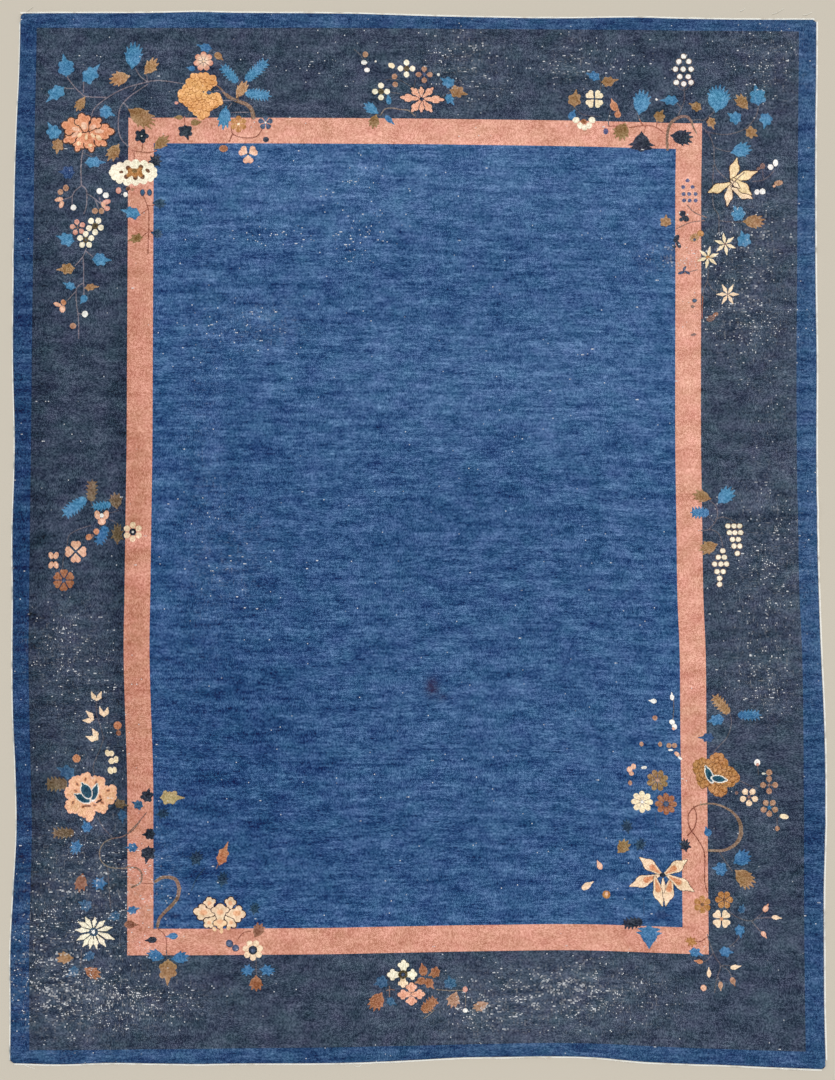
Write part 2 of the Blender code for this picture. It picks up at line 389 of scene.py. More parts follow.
def build_pile(material):
    """The rug itself, closed all round."""
    us = np.linspace(-EDGE_U, EDGE_U, TOP_COLUMNS + 1)
    vs = np.linspace(-EDGE_V, EDGE_V, TOP_ROWS + 1)
    last_i, last_j = TOP_COLUMNS, TOP_ROWS
    points, weave = [], []

    def layer_points(grid_i, grid_j, inset, share):
        """Points of the grid at an inset from the edge and a share of the height."""
        u, v = us[grid_i], vs[grid_j]
        x, y = loom_to_floor(u, v)
        edge_x = (grid_i == 0).astype(float) - (grid_i == last_i)
        edge_y = (grid_j == 0).astype(float) - (grid_j == last_j)
        pull = CORNER_PULL * np.abs(edge_x * edge_y)
        lift = ripple_height(x, y)
        top = pile_top(x, y, u, v)
        z = lift + (top - lift) * share
        spread = (1 - share) * THICKNESS
        points.append(np.stack([x + edge_x * (inset + pull), y + edge_y * (inset + pull), z], 1))
        weave.append(np.stack([u - edge_x * spread, v - edge_y * spread], 1))

    grid_j, grid_i = np.divmod(np.arange((last_i + 1) * (last_j + 1)), last_i + 1)
    layer_points(grid_i, grid_j, RIM_INSET, 1.0)
    top_index = np.arange(len(grid_i)).reshape(last_j + 1, last_i + 1)

    ring = [(i, 0) for i in range(last_i)]
    ring += [(last_i, j) for j in range(last_j)]
    ring += [(i, last_j) for i in range(last_i, 0, -1)]
    ring += [(0, j) for j in range(last_j, 0, -1)]
    ring_i = np.array([i for i, j in ring])
    ring_j = np.array([j for i, j in ring])
    rings = []
    total = len(grid_i)
    for inset, share in RIM_STEPS:
        layer_points(ring_i, ring_j, inset, share)
        rings.append(np.arange(total, total + len(ring)))
        total += len(ring)
    rings.append(top_index[ring_j, ring_i])

    corners = top_index[:-1, :-1], top_index[:-1, 1:], top_index[1:, 1:], top_index[1:, :-1]
    faces = np.stack([c.ravel() for c in corners], 1).tolist()
    for low, high in zip(rings, rings[1:]):
        quads = np.stack([low, np.roll(low, -1), np.roll(high, -1), high], 1)
        faces += quads.tolist()

    back_columns = sorted({round(share * last_i) for share in BACK_SHARES})
    place_on_ring = {place: int(rings[0][k]) for k, place in enumerate(ring)}
    inner = [(i, j) for j in range(1, last_j) for i in back_columns[1:-1]]
    back_i = np.array([i for i, j in inner])
    back_j = np.array([j for i, j in inner])
    layer_points(back_i, back_j, 0.0, 0.0)
    back = dict(place_on_ring)
    back.update({place: total + k for k, place in enumerate(inner)})
    for j in range(last_j):
        for left, right in zip(back_columns, back_columns[1:]):
            near = [left, right] if j else list(range(left, right + 1))
            far = [left, right] if j + 1 < last_j else list(range(left, right + 1))
            face = [back[(i, j)] for i in reversed(near)] + [back[(i, j + 1)] for i in far]
            faces.append(face)

    mesh = bpy.data.meshes.new("rug_pile")
    mesh.from_pydata(np.concatenate(points).tolist(), [], faces)
    loom = np.concatenate(weave)
    add_loom_values(mesh, loom[:, 0], loom[:, 1])
    mesh.shade_smooth()
    return make_object("rug_pile", mesh, material)


# Node helpers

def feed(tree, socket, value):
    """Link an input to a socket, or give it a value."""
    if isinstance(value, bpy.types.NodeSocket):
        tree.links.new(value, socket)
    else:
        socket.default_value = value


def add_node(tree, kind, inputs=(), **settings):
    """Add a node, set it up, and fill its inputs with values or links."""
    new = tree.nodes.new("ShaderNode" + kind)
    for name, value in settings.items():
        setattr(new, name, value)
    for key, value in dict(inputs).items():
        feed(tree, new.inputs[key], value)
    return new


def math_node(tree, operation, *values, clamp=False):
    """One sum, as a socket."""
    return add_node(tree, "Math", enumerate(values), operation=operation, use_clamp=clamp).outputs[0]


def vector_node(tree, operation, *values):
    """One vector sum, as a socket."""
    return add_node(tree, "VectorMath", enumerate(values), operation=operation).outputs[0]


def mix_colours(tree, factor, first, second):
    """Mix two colours, as a socket."""
    inputs = {0: factor, 6: first, 7: second}
    return add_node(tree, "Mix", inputs, data_type="RGBA").outputs[2]


def attribute(tree, name, output="Fac"):
    """A value stored on the mesh, as a socket."""
    return add_node(tree, "Attribute", attribute_name=name).outputs[output]


def noise(tree, vector, scale, detail=2.0, roughness=0.5):
    """Soft noise from 0 to 1, as a socket."""
    inputs = {"Vector": vector, "Scale": scale, "Detail": detail, "Roughness": roughness}
    return add_node(tree, "TexNoise", inputs, noise_dimensions="3D").outputs[0]


def linear(colour):
    """A colour given in 0 to 255 as the screen shows it, in linear light."""
    parts = []
    for value in colour:
        share = value / 255
        parts.append(share / 12.92 if share <= 0.04045 else ((share + 0.055) / 1.055) ** 2.4)
    return (*parts, 1.0)


# Knot chart of the sprays. Shapes are drawn in knots, with a to the right and b upward

HALF_ACROSS = int(EDGE_U / CELL)
HALF_ALONG = int(EDGE_V / CELL)

# Dyes as the screen shows them: inside of a shape, then its rim
DYES = {
    "blue": ((80, 138, 178), (78, 130, 168)),
    "deep_blue": ((66, 116, 162), (70, 120, 164)),
    "dim_blue": ((60, 96, 130), (64, 102, 136)),
    "faint_blue": ((50, 76, 120), (54, 80, 122)),
    "ochre": ((158, 120, 84), (170, 134, 98)),
    "tan": ((182, 140, 102), (194, 154, 116)),
    "worn_ochre": ((116, 98, 78), (128, 108, 86)),
    "worn_gold": ((200, 180, 134), (190, 170, 126)),
    "olive": ((144, 112, 74), (156, 126, 86)),
    "rust": ((158, 104, 74), (176, 120, 88)),
    "worn_rust": ((144, 98, 80), (158, 110, 86)),
    "navy": ((40, 48, 62), (50, 58, 74)),
    "green": ((42, 66, 90), (46, 72, 100)),
    "teal": ((28, 74, 94), (36, 84, 104)),
    "slate": ((92, 108, 138), (60, 72, 94)),
    "orange": ((224, 148, 110), (236, 166, 130)),
    "warm_peach": ((246, 192, 152), (246, 186, 156)),
    "dim_orange": ((196, 132, 98), (206, 146, 112)),
    "orange_heart": ((250, 220, 184), (248, 204, 160)),
    "gold": ((236, 172, 108), (244, 184, 122)),
    "gold_line": ((176, 114, 62), (176, 114, 62)),
    "amber": ((196, 140, 86), (176, 122, 72)),
    "amber_line": ((128, 86, 52), (128, 86, 52)),
    "cream": ((255, 246, 220), (252, 240, 214)),
    "butter": ((252, 230, 190), (252, 234, 200)),
    "white": ((252, 250, 244), (250, 246, 238)),
    "peach": ((242, 196, 168), (232, 176, 148)),
    "peach_gold": ((252, 214, 172), (250, 206, 162)),
    "pink": ((232, 176, 158), (214, 150, 134)),
    "salmon": ((250, 214, 186), (218, 140, 116)),
    "brown": ((172, 130, 106), (188, 146, 120)),
    "dim_brown": ((128, 102, 96), (140, 112, 104)),
    "dark_brown": ((112, 78, 58), (126, 90, 68)),
    "dark_olive": ((84, 74, 54), (100, 86, 60)),
    "lily": ((252, 224, 178), (248, 216, 168)),
    "lily_pink": ((252, 220, 184), (252, 224, 192)),
    "coral": ((238, 172, 142), (242, 182, 154)),
    "soft_orange": ((244, 184, 140), (248, 196, 156)),
    "apricot": ((222, 152, 110), (232, 168, 128)),
    "purple": ((94, 98, 134), (82, 86, 120)),
    "stem": ((138, 131, 138), (124, 117, 126)),
    "dim_stem": ((102, 98, 106), (94, 92, 100)),
    "branch": ((150, 124, 106), (138, 112, 94)),
    "ring": ((134, 110, 92), (146, 122, 104)),
    "loop": ((128, 100, 86), (150, 122, 104)),
    "worn": ((150, 138, 124), (132, 120, 110)),
    "band_stem": ((152, 92, 76), (166, 104, 86)),
    "band_branch": ((134, 76, 62), (146, 86, 70)),
    "outline": ((46, 54, 68), (46, 54, 68)),
    "brown_line": ((80, 54, 46), (80, 54, 46)),
    "white_line": ((236, 232, 222), (236, 232, 222)),
}


class Chart:
    """Which spray each half-knot cell belongs to, and its dye."""

    def __init__(self):
        shape = (2 * HALF_ALONG, 2 * HALF_ACROSS)
        self.spray = np.zeros(shape, np.int8)
        self.dye = np.zeros(shape + (3,), np.float32)
        self.current = 1

    def window(self, a0, b0, a1, b1):
        """Slices of the cells inside a box, and the places of their middles."""
        i0 = max(int(a0 * 2) + HALF_ACROSS - 2, 0)
        i1 = min(int(a1 * 2) + HALF_ACROSS + 2, 2 * HALF_ACROSS)
        j0 = max(int(b0 * 2) + HALF_ALONG - 2, 0)
        j1 = min(int(b1 * 2) + HALF_ALONG + 2, 2 * HALF_ALONG)
        a = (np.arange(i0, i1) - HALF_ACROSS + 0.5) / 2
        b = (np.arange(j0, j1) - HALF_ALONG + 0.5) / 2
        return (slice(j0, j1), slice(i0, i1)), *np.meshgrid(a, b)

    def fill(self, shape, dye, grow=0.0, blend=None):
        """Knot a shape in a dye, from its rim's tone to its inside's."""
        cells, a, b = self.window(*shape.box(grow))
        away = shape.distance(a, b) - grow
        inside = away <= 0
        inner, rim = (np.array(linear(tone)[:3]) for tone in DYES[dye])
        share = np.clip(-away / 2.0, 0, 1) if blend is None else np.clip(blend(a, b), 0, 1)
        tones = rim + (inner - rim) * share[..., None]
        self.spray[cells][inside] = self.current
        self.dye[cells][inside] = tones[inside]


chart = Chart()


class Shape:
    """A union of round spots and tapered strokes."""

    def __init__(self):
        self.spots, self.strokes = [], []

    def spot(self, a, b, radius_a, radius_b=None, turn=0.0):
        self.spots.append((a, b, radius_a, radius_b or radius_a, math.radians(turn)))
        return self

    def stroke(self, a0, b0, a1, b1, half0, half1):
        self.strokes.append((a0, b0, a1, b1, half0, half1))
        return self

    def box(self, grow=0.0):
        """The box around everything in the shape."""
        lows, highs = [], []
        for a, b, radius_a, radius_b, _ in self.spots:
            reach = max(radius_a, radius_b) + grow
            lows.append((a - reach, b - reach))
            highs.append((a + reach, b + reach))
        for a0, b0, a1, b1, half0, half1 in self.strokes:
            reach = max(half0, half1) + grow
            lows.append((min(a0, a1) - reach, min(b0, b1) - reach))
            highs.append((max(a0, a1) + reach, max(b0, b1) + reach))
        return (*np.min(lows, axis=0), *np.max(highs, axis=0))

    def distance(self, a, b):
        """Distance from the shape's edge, below zero inside."""
        nearest = np.full(a.shape, 1e9)
        for ca, cb, radius_a, radius_b, turn in self.spots:
            along = (a - ca) * math.cos(turn) + (b - cb) * math.sin(turn)
            across = (b - cb) * math.cos(turn) - (a - ca) * math.sin(turn)
            ratio = np.hypot(along / radius_a, across / radius_b)
            nearest = np.minimum(nearest, (ratio - 1) * min(radius_a, radius_b))
        for a0, b0, a1, b1, half0, half1 in self.strokes:
            run_a, run_b = a1 - a0, b1 - b0
            length = run_a * run_a + run_b * run_b + 1e-9
            t = np.clip(((a - a0) * run_a + (b - b0) * run_b) / length, 0, 1)
            gap = np.hypot(a - a0 - t * run_a, b - b0 - t * run_b)
            nearest = np.minimum(nearest, gap - half0 - (half1 - half0) * t)
        return nearest


class Frame:
    """A turned local frame on the chart, placed by a pixel of the photo."""

    def __init__(self, px, py, turn=0):
        self.a, self.b = photo_to_knots(px, py)
        self.turn = turn
        self.cos, self.sin = math.cos(math.radians(turn)), math.sin(math.radians(turn))
        self.shape = Shape()

    def at(self, s, t):
        """A place s along the frame's direction and t to its left."""
        return self.a + s * self.cos - t * self.sin, self.b + s * self.sin + t * self.cos

    def spot(self, s, t, radius_s, radius_t=None, turn=0.0):
        self.shape.spot(*self.at(s, t), radius_s, radius_t, self.turn + turn)

    def stroke(self, s0, t0, s1, t1, half0, half1):
        self.shape.stroke(*self.at(s0, t0), *self.at(s1, t1), half0, half1)


SHARP = 0.42             # half width of a pointed end, in knots


def lobed_leaf(leaf, length, width, chance):
    """A full body with a few rounded lobes and one drawn-out tip."""
    leaf.spot(-0.12 * length, 0, 0.35 * length, 0.42 * width)
    for side in (-1, 1):
        for place, out, size in ((-0.26, 0.33, 0.17), (0.06, 0.30, 0.18)):
            s = (place + chance.uniform(-0.05, 0.05)) * length
            leaf.spot(s, side * out * width, size * width)
    bend = chance.uniform(-0.16, 0.16) * width
    leaf.stroke(0.05 * length, bend * 0.3, 0.5 * length, bend, 0.24 * width, SHARP)
    leaf.stroke(-0.5 * length, 0, -0.2 * length, 0, 0.7, 0.25 * width)


def comb_leaf(leaf, length, width, chance):
    """A full body with short pointed fingers round its far side."""
    leaf.stroke(-0.5 * length, 0, -0.15 * length, 0, 0.8, 0.34 * width)
    leaf.spot(-0.04 * length, 0, 0.37 * length, 0.41 * width)
    fingers = max(5, round(width / 2.7))
    for k in range(fingers):
        angle = math.radians(-84 + 168 * k / (fingers - 1) + chance.uniform(-4, 4))
        reach = chance.uniform(0.94, 1.04)
        s = (-0.02 + 0.47 * math.cos(angle) * reach) * length
        t = 0.49 * width * math.sin(angle) * reach
        leaf.stroke(s * 0.45, t * 0.6, s + 0.06 * length, t, 2.3, 0.55)


def fern_leaf(leaf, length, width, chance):
    """A long leaf with teeth that point forward on both sides."""
    leaf.spot(-0.06 * length, 0, 0.42 * length, 0.33 * width)
    leaf.stroke(0, 0, 0.5 * length, 0, 0.24 * width, SHARP)
    teeth = max(4, round(length / 4.2))
    for side in (-1, 1):
        for k in range(teeth):
            s = (-0.38 + 0.70 * k / (teeth - 1)) * length
            out = 0.5 * width * math.sqrt(max(0.25, 1 - (s / (0.56 * length)) ** 2))
            ahead = 0.08 * length + chance.uniform(-0.4, 0.4)
            leaf.stroke(s, side * 0.12 * width, s + ahead, side * out, 0.17 * width, SHARP)


def plain_leaf(leaf, length, width, chance):
    """A simple leaf with a point."""
    leaf.spot(-0.10 * length, 0, 0.38 * length, 0.46 * width)
    leaf.stroke(0, 0, 0.5 * length, chance.uniform(-0.1, 0.1) * width, 0.32 * width, SHARP)


def maple_leaf(leaf, length, width, chance):
    """Broad pointed lobes around a rounded body."""
    leaf.spot(-0.08 * length, 0, 0.32 * length, 0.34 * width)
    for angle in (-112, -66, -30, 0, 30, 66, 112):
        turn = math.radians(angle + chance.uniform(-6, 6))
        s = -0.06 * length + 0.55 * length * math.cos(turn)
        t = 0.52 * width * math.sin(turn)
        leaf.stroke(-0.05 * length, t * 0.2, s, t, 0.22 * width, SHARP)
    leaf.stroke(-0.5 * length, 0, -0.2 * length, 0, 0.7, 0.2 * width)


def fir_leaf(leaf, length, width, chance):
    """A broad triangle on a stout foot, with teeth at the sides that point back."""
    leaf.stroke(-0.32 * length, 0, -0.05 * length, 0, 0.20 * width, 0.32 * width)
    leaf.stroke(-0.05 * length, 0, 0.5 * length, 0, 0.34 * width, SHARP)
    for side in (-1, 1):
        for ahead, out in ((0.10, 0.34), (-0.10, 0.54), (-0.28, 0.48)):
            leaf.stroke(ahead * length, 0, (ahead - 0.12) * length, side * out * width,
                        0.2 * width, SHARP)


LEAF_STYLES = {
    "lobed": lobed_leaf,
    "comb": comb_leaf,
    "fern": fern_leaf,
    "plain": plain_leaf,
    "maple": maple_leaf,
    "fir": fir_leaf,
}


def knot_leaves(groups):
    """Leaves: style and dye, then x, y, length, width and turn of each leaf."""
    for style, dye, *leaves in groups:
        for px, py, length, width, turn in leaves:
            leaf = Frame(px, py, turn)
            LEAF_STYLES[style](leaf, length, width, random.Random(round(px * 7 + py * 13)))
            chart.fill(leaf.shape, dye)


def knot_buds(groups):
    """Round buds and dots: dye, then x, y, length, width and any turn of each."""
    for dye, *buds in groups:
        for px, py, length, width, *turn in buds:
            bud = Frame(px, py, *turn)
            bud.spot(0, 0, length / 2, width / 2)
            chart.fill(bud.shape, dye)


ROUTE_STEPS = 4


def smooth_route(points):
    """A smooth curve through the points of a stem."""
    if len(points) < 3:
        return points
    ends = [points[0]] + points + [points[-1]]
    route = []
    for p0, p1, p2, p3 in zip(ends, ends[1:], ends[2:], ends[3:]):
        for step in range(ROUTE_STEPS):
            t = step / ROUTE_STEPS
            route.append(tuple(
                0.5 * (2 * q1 + (q2 - q0) * t + (2 * q0 - 5 * q1 + 4 * q2 - q3) * t * t
                       + (3 * q1 - q0 - 3 * q2 + q3) * t**3)
                for q0, q1, q2, q3 in zip(p0, p1, p2, p3)
            ))
    return route + [points[-1]]


def knot_stems(groups):
    """Stems: dye, half width at the start and the end, then the places along each stem."""
    for dye, half0, half1, *routes in groups:
        for route in routes:
            smooth = smooth_route([photo_to_knots(px, py) for px, py in route])
            stem = Shape()
            last = len(smooth) - 1
            for k in range(last):
                start = half0 + (half1 - half0) * k / last
                end = half0 + (half1 - half0) * (k + 1) / last
                stem.stroke(*smooth[k], *smooth[k + 1], start, end)
            chart.fill(stem, dye)


def knot_flowers(rows):
    """Small flowers: style, x, y, radius, petals, turn, dye, heart dye, heart radius."""
    for style, px, py, radius, petals, turn, dye, heart, heart_radius in rows:
        middle = photo_to_knots(px, py)
        half = math.sin(math.pi / petals)

        def from_middle(a, b):
            """The petals' tone, from the middle outward."""
            return 1.35 - np.hypot(a - middle[0], b - middle[1]) / (0.8 * radius)

        for k in range(petals):
            petal = Frame(px, py, turn + 360 * k / petals)
            if style == "round":
                petal.spot(0.68 * radius, 0, 0.32 * radius, min(0.32, 0.60 * half) * radius)
                petal.stroke(0.30 * radius, 0, 0.6 * radius, 0, 0.4, 0.4 * half * radius)
            elif style == "split":
                width = min(0.72 * radius * half - 0.2, 0.36 * radius)
                petal.stroke(0.14 * radius, 0, 0.64 * radius, 0, 0.35, width)
                petal.spot(0.70 * radius, 0, 0.30 * radius, width)
            elif style == "star":
                petal.stroke(0.10 * radius, 0, 0.50 * radius, 0, 0.35, 0.17 * radius)
                petal.stroke(0.50 * radius, 0, radius, 0, 0.17 * radius, SHARP)
            else:
                room = 0.74 * radius * half - 0.25
                for side in (-1, 1):
                    petal.stroke(0.16 * radius, 0, 0.74 * radius, side * 0.42 * room, 0.3, 0.58 * room)
            chart.fill(petal.shape, dye, blend=from_middle)
        if heart:
            chart.fill(Shape().spot(*middle, heart_radius), heart)


def knot_twins(dye, twins):
    """Buds of two pointed petals: x, y of the root, length, spread and turn of each."""
    for px, py, length, spread, turn in twins:
        for side in (-1, 1):
            petal = Frame(px, py, turn + side * spread)
            petal.stroke(0, 0, 0.45 * length, side * 0.08 * length, 0.5, 0.24 * length)
            petal.stroke(0.45 * length, side * 0.08 * length, length, side * 0.05 * length,
                         0.24 * length, SHARP)
            chart.fill(petal.shape, dye)


def knot_petals(groups, rim="outline", margin=0.5):
    """Three-lobed petals: dye, then x, y of the root, length, width and turn of each."""
    for dye, *petals in groups:
        for px, py, length, width, turn in petals:
            petal = Frame(px, py, turn)
            petal.stroke(0.04 * length, 0, 0.52 * length, 0, 0.20 * width, 0.37 * width)
            petal.spot(0.79 * length, 0, 0.21 * length, 0.23 * width)
            for side in (-1, 1):
                petal.spot(0.58 * length, side * 0.34 * width, 0.18 * length, 0.18 * width)
            chart.fill(petal.shape, rim, grow=margin)
            chart.fill(petal.shape, dye)


def scalloped(px, py, radius_a, radius_b, lobes, lobe, dye, turn=0.0, uneven=0.0):
    """A rounded form with a scalloped edge."""
    chance = random.Random(round(px * 5 + py * 11))
    form = Frame(px, py, turn)
    form.spot(0, 0, radius_a - lobe * 0.6, radius_b - lobe * 0.6)
    for k in range(lobes):
        angle = math.tau * (k + 0.5) / lobes
        size = lobe * (1 + chance.uniform(-uneven, uneven))
        s = (radius_a - lobe) * math.cos(angle)
        t = (radius_b - lobe) * math.sin(angle)
        form.spot(s, t, size)
    chart.fill(form.shape, dye)


def long_petals(groups, rim="outline", margin=0.5):
    """Long petals, widest past their middle: dye, then x, y of the root, length, width, turn, any heart."""
    for dye, *petals in groups:
        for px, py, length, width, turn, *hearts in petals:
            petal = Frame(px, py, turn)
            petal.a, petal.b = petal.at(length / 2, 0)
            petal.stroke(-0.5 * length, 0, 0.0, 0, 0.10 * width, 0.42 * width)
            petal.spot(0.06 * length, 0, 0.24 * length, 0.47 * width)
            petal.stroke(0.12 * length, 0, 0.5 * length, 0, 0.38 * width, SHARP)
            chart.fill(petal.shape, rim, grow=margin)
            chart.fill(petal.shape, dye)
            for heart in hearts:
                petal.shape = Shape()
                petal.stroke(-0.42 * length, 0, -0.08 * length, 0, 0.06 * width, 0.26 * width)
                chart.fill(petal.shape, heart)


def rimmed(px, py, length, width, turn):
    """A pointed teal form with a thin white line round it."""
    form = Frame(px, py, turn)
    form.spot(-0.04 * length, 0, 0.42 * length, 0.46 * width)
    form.stroke(0, 0, 0.5 * length, 0, 0.3 * width, 0.5)
    chart.fill(form.shape, "white_line", grow=0.8)
    chart.fill(form.shape, "teal")


def knot_grapes(dye, size, rim, rows):
    """Bunches of grapes: the y of each row and the x of its grapes."""
    for grow, tone in ((0.55, rim), (0.0, dye)):
        for py, places in rows:
            for px in places:
                grape = Frame(px, py)
                grape.spot(0, 0, size / 2, size / 2.1)
                chart.fill(grape.shape, tone, grow=grow)


def ruffled(parts, dye, line):
    """A full flower of small overlapping petals: x, y, half width, half height of its masses."""
    chance = random.Random(SEED)
    for px, py, radius_a, radius_b in parts:
        lobes = max(6, round((radius_a + radius_b) / 3.2))
        scalloped(px, py, radius_a, radius_b, lobes, 3.8, dye, turn=chance.uniform(0, 60), uneven=0.2)
    for px, py, radius_a, radius_b in parts:
        count = round(radius_a * radius_b / 8)
        for k in range(count):
            angle = 2.4 * k + chance.uniform(-0.2, 0.2)
            reach = math.sqrt((k + 0.5) / count) * 0.82
            x = px + radius_a * reach * math.cos(angle)
            y = py + radius_b * reach * math.sin(angle)
            petal = Frame(x, y, chance.uniform(70, 110))
            petal.spot(0, 0, 2.7, 2.5)
            chart.fill(petal.shape, line, grow=0.4)
            petal.shape = Shape()
            petal.spot(0.35, 0, 2.7, 2.5)
            chart.fill(petal.shape, dye)


def spot(px, py, radius_a, radius_b, dye):
    """One round spot of a dye."""
    chart.fill(Shape().spot(*photo_to_knots(px, py), radius_a, radius_b), dye)


def top_left_spray():
    """Orange and gold peonies, a white lotus on the band and hanging tendrils."""
    knot_stems((
        ("stem", 0.55, 0.65, ((91, 116), (94, 108), (107, 97), (125, 87.5), (143, 82.5))),
        ("stem", 0.6, 0.5, ((143, 82.5), (152, 80.5), (164, 80.5), (184, 83.5)),
         ((148, 82), (140, 76), (135, 68)), ((81, 185), (74, 191), (71, 196), (63, 199))),
        ("stem", 0.55, 0.6, ((107, 97), (86, 96), (80, 92), (75, 87.5), (67, 77), (66, 74))),
        ("stem", 0.5, 0.5, ((83, 92), (83.4, 80)), ((73, 88), (63, 87.5)), ((147, 80), (145.5, 71)),
         ((124, 103), (129, 109)), ((137, 84), (133, 90)), ((72, 196), (71.5, 204)),
         ((95, 200), (98, 208)), ((86, 248), (82, 257), (75, 265)), ((86, 251), (92, 256)),
         ((82, 283), (76, 288), (76, 303), (78, 318), (78, 338)), ((76, 290), (66, 301)),
         ((78, 313), (81, 313.5))),
        ("stem", 0.6, 0.6, ((147, 84), (138, 90), (128, 97), (120, 107), (118, 118)),
         ((118, 118), (118, 129), (121, 139), (128, 146))),
        ("stem", 0.75, 0.6, ((82.5, 150), (81, 160), (80.5, 172), (81, 185))),
        ("dim_stem", 0.5, 0.5, ((82, 152), (91, 156))),
        ("stem", 0.6, 0.6, ((81, 185), (86, 190), (86, 205), (83.5, 213))),
        ("stem", 0.5, 0.5, ((86, 193), (94, 198), (103, 206)), ((99, 197), (100, 202))),
        ("stem", 0.6, 0.5, ((82, 257), (83, 262), (83.4, 295))),
        ("band_stem", 0.55, 0.55, ((131, 150), (138, 151), (149, 152), (156, 150))),
        ("band_stem", 0.5, 0.5, ((142, 141), (141.5, 151)), ((133.6, 150), (133.6, 160)),
         ((184, 116), (184.5, 127))),
        ("band_stem", 0.6, 0.6, ((143, 196), (147, 206), (148.5, 218), (147.5, 253))),
        ("band_stem", 0.5, 0.5, ((147, 205), (152, 205), (156, 203)), ((148, 208), (141, 213)),
         ((148, 231), (142, 236)), ((148, 229), (154, 233))),
        ("band_branch", 0.5, 0.5,
         ((231, 128), (232, 133), (237, 136), (246, 137.5), (256, 136), (262, 128)),
         ((232, 133), (229, 141))),
    ))
    knot_leaves((
        ("lobed", "blue", (65.5, 64.6, 23, 17, 93), (91.5, 73, 24, 15, 40), (54, 93.5, 23, 14, 215),
         (107, 112.5, 17, 12, 335), (52, 130, 19, 14, 128), (95, 161.5, 21, 11, 4),
         (130, 212, 20, 12, 165), (64.5, 238.5, 19, 13, 165), (101.5, 259, 19, 13, 0),
         (68.5, 285, 13, 8, 160)),
        ("comb", "blue", (133, 55, 27, 20, 84), (224, 117.5, 24, 14, 262)),
        ("plain", "blue", (107, 108, 9, 6, 120), (83, 299, 10, 8, 240)),
        ("lobed", "faint_blue", (66, 172, 16, 13, 180)),
        ("comb", "tan", (150.5, 66, 19, 13, 50), (119, 78, 21, 15, 193)),
        ("comb", "ochre", (80, 103.5, 16, 10, 238), (141, 117, 31, 20, 328), (113, 152, 19, 14, 236)),
        ("lobed", "ochre", (57.5, 146, 15, 12, 270), (65, 268.5, 18, 11, 185), (91.5, 286.5, 14, 7, 8)),
        ("comb", "olive", (161, 142, 19, 12, 42)),
        ("maple", "navy", (155, 160, 14, 13, 70)),
        ("lobed", "deep_blue", (203.5, 47, 15, 9, 170)),
        ("plain", "deep_blue", (190.5, 68, 9, 6, 175)),
        ("plain", "ochre", (218.5, 56, 11, 7.5, 325)),
        ("fern", "blue", (229, 73.5, 25, 11, 133), (256, 70, 33, 12, 44), (257.5, 94, 28, 12, 352)),
        ("comb", "tan", (241, 89, 19, 11, 60)),
        ("plain", "olive", (195.5, 122, 11, 7, 0), (178, 117, 9, 5, 180)),
        ("lobed", "navy", (185, 132, 15, 14, 275)),
        ("lobed", "olive", (134.5, 238, 15, 9, 190)),
        ("comb", "green", (159, 203, 13, 10, 355), (156.5, 233, 11, 9, 350)),
    ))
    knot_stems((
        ("branch", 0.6, 1.3, ((216, 85), (220, 88), (224, 93), (228, 97))),
        ("branch", 1.5, 2.2, ((226, 94), (231, 98), (238, 101), (246, 104), (251, 109), (253, 117))),
        ("stem", 0.5, 0.5, ((221, 100), (236, 100)), ((231, 103), (227, 108))),
        ("stem", 0.4, 0.5, ((231, 112), (248, 112))),
        ("stem", 0.4, 0.4, ((214, 90), (224, 91))),
        ("branch", 0.5, 0.5, ((237.5, 100), (238, 94))),
        ("dim_stem", 0.5, 0.5, ((189, 112), (187, 116))),
    ))
    knot_petals((
        ("orange", (82, 133, 19, 12.5, 252), (88, 133, 19, 12.5, 281), (79, 131.5, 19, 11.5, 212),
         (92, 132.5, 19, 12.5, 318), (91, 131, 23.5, 15, 0), (81, 129, 21, 17, 165),
         (89, 128.5, 15.5, 11.5, 42), (85, 129, 17, 16, 108)),
    ), rim="brown_line", margin=1)
    spot(85.5, 137.5, 8.5, 5.0, "orange")
    knot_buds((
        ("peach", (75.5, 128.8, 9, 4.4, 168), (83.6, 125.4, 8, 6.4, 108), (92.6, 126.6, 7, 4.6, 38),
         (99, 130.8, 10, 4.6), (74.6, 134.2, 8, 4, 212)),
        ("orange_heart", (98.2, 137.2, 7, 4.6, 318), (79.2, 134.6, 6, 3.8, 230),
         (85.8, 136.6, 7, 3.2, 90), (92.4, 135.2, 6, 3.2, 305), (78.2, 143, 4.8, 4.2),
         (90, 144.8, 5, 3.6)),
    ))
    ruffled((
        (201, 82, 17, 10),
        (190, 95, 13, 12),
        (201, 103, 15, 12),
        (213, 100, 9, 8),
        (203, 111, 9, 7),
    ), "gold", "gold_line")
    knot_buds((
        ("slate", (208.5, 92, 5, 4.4)),
        ("outline", (213, 88.5, 6, 3, 20)),
        ("pink", (176, 102.5, 4, 3)),
    ))
    knot_flowers((
        ("split", 203, 61, 10, 7, 90, "salmon", "orange_heart", 0.9),
        ("round", 141, 135.5, 7.5, 5, 70, "navy", None, 0),
        ("round", 77.2, 226.9, 8.2, 5, 100, "pink", "dim_brown", 1.2),
        ("round", 94.4, 225.4, 9.4, 5, 56, "cream", "dark_olive", 3.3),
        ("round", 85.2, 239.4, 9.0, 5, 90, "cream", "dark_olive", 3.0),
    ))
    spot(141, 135.5, 5.4, 5.2, "navy")
    spot(141, 135.5, 0.8, 0.8, "white_line")
    spot(85.2, 239.4, 1.0, 1.1, "slate")
    scalloped(133, 172, 25, 13.5, 15, 3.8, "cream", uneven=0.12)
    for px, py in ((127.6, 167.4), (140.2, 166.6), (125.8, 176.2), (141.8, 176.2)):
        spot(px, py, 2.5, 2.5, "dark_brown")
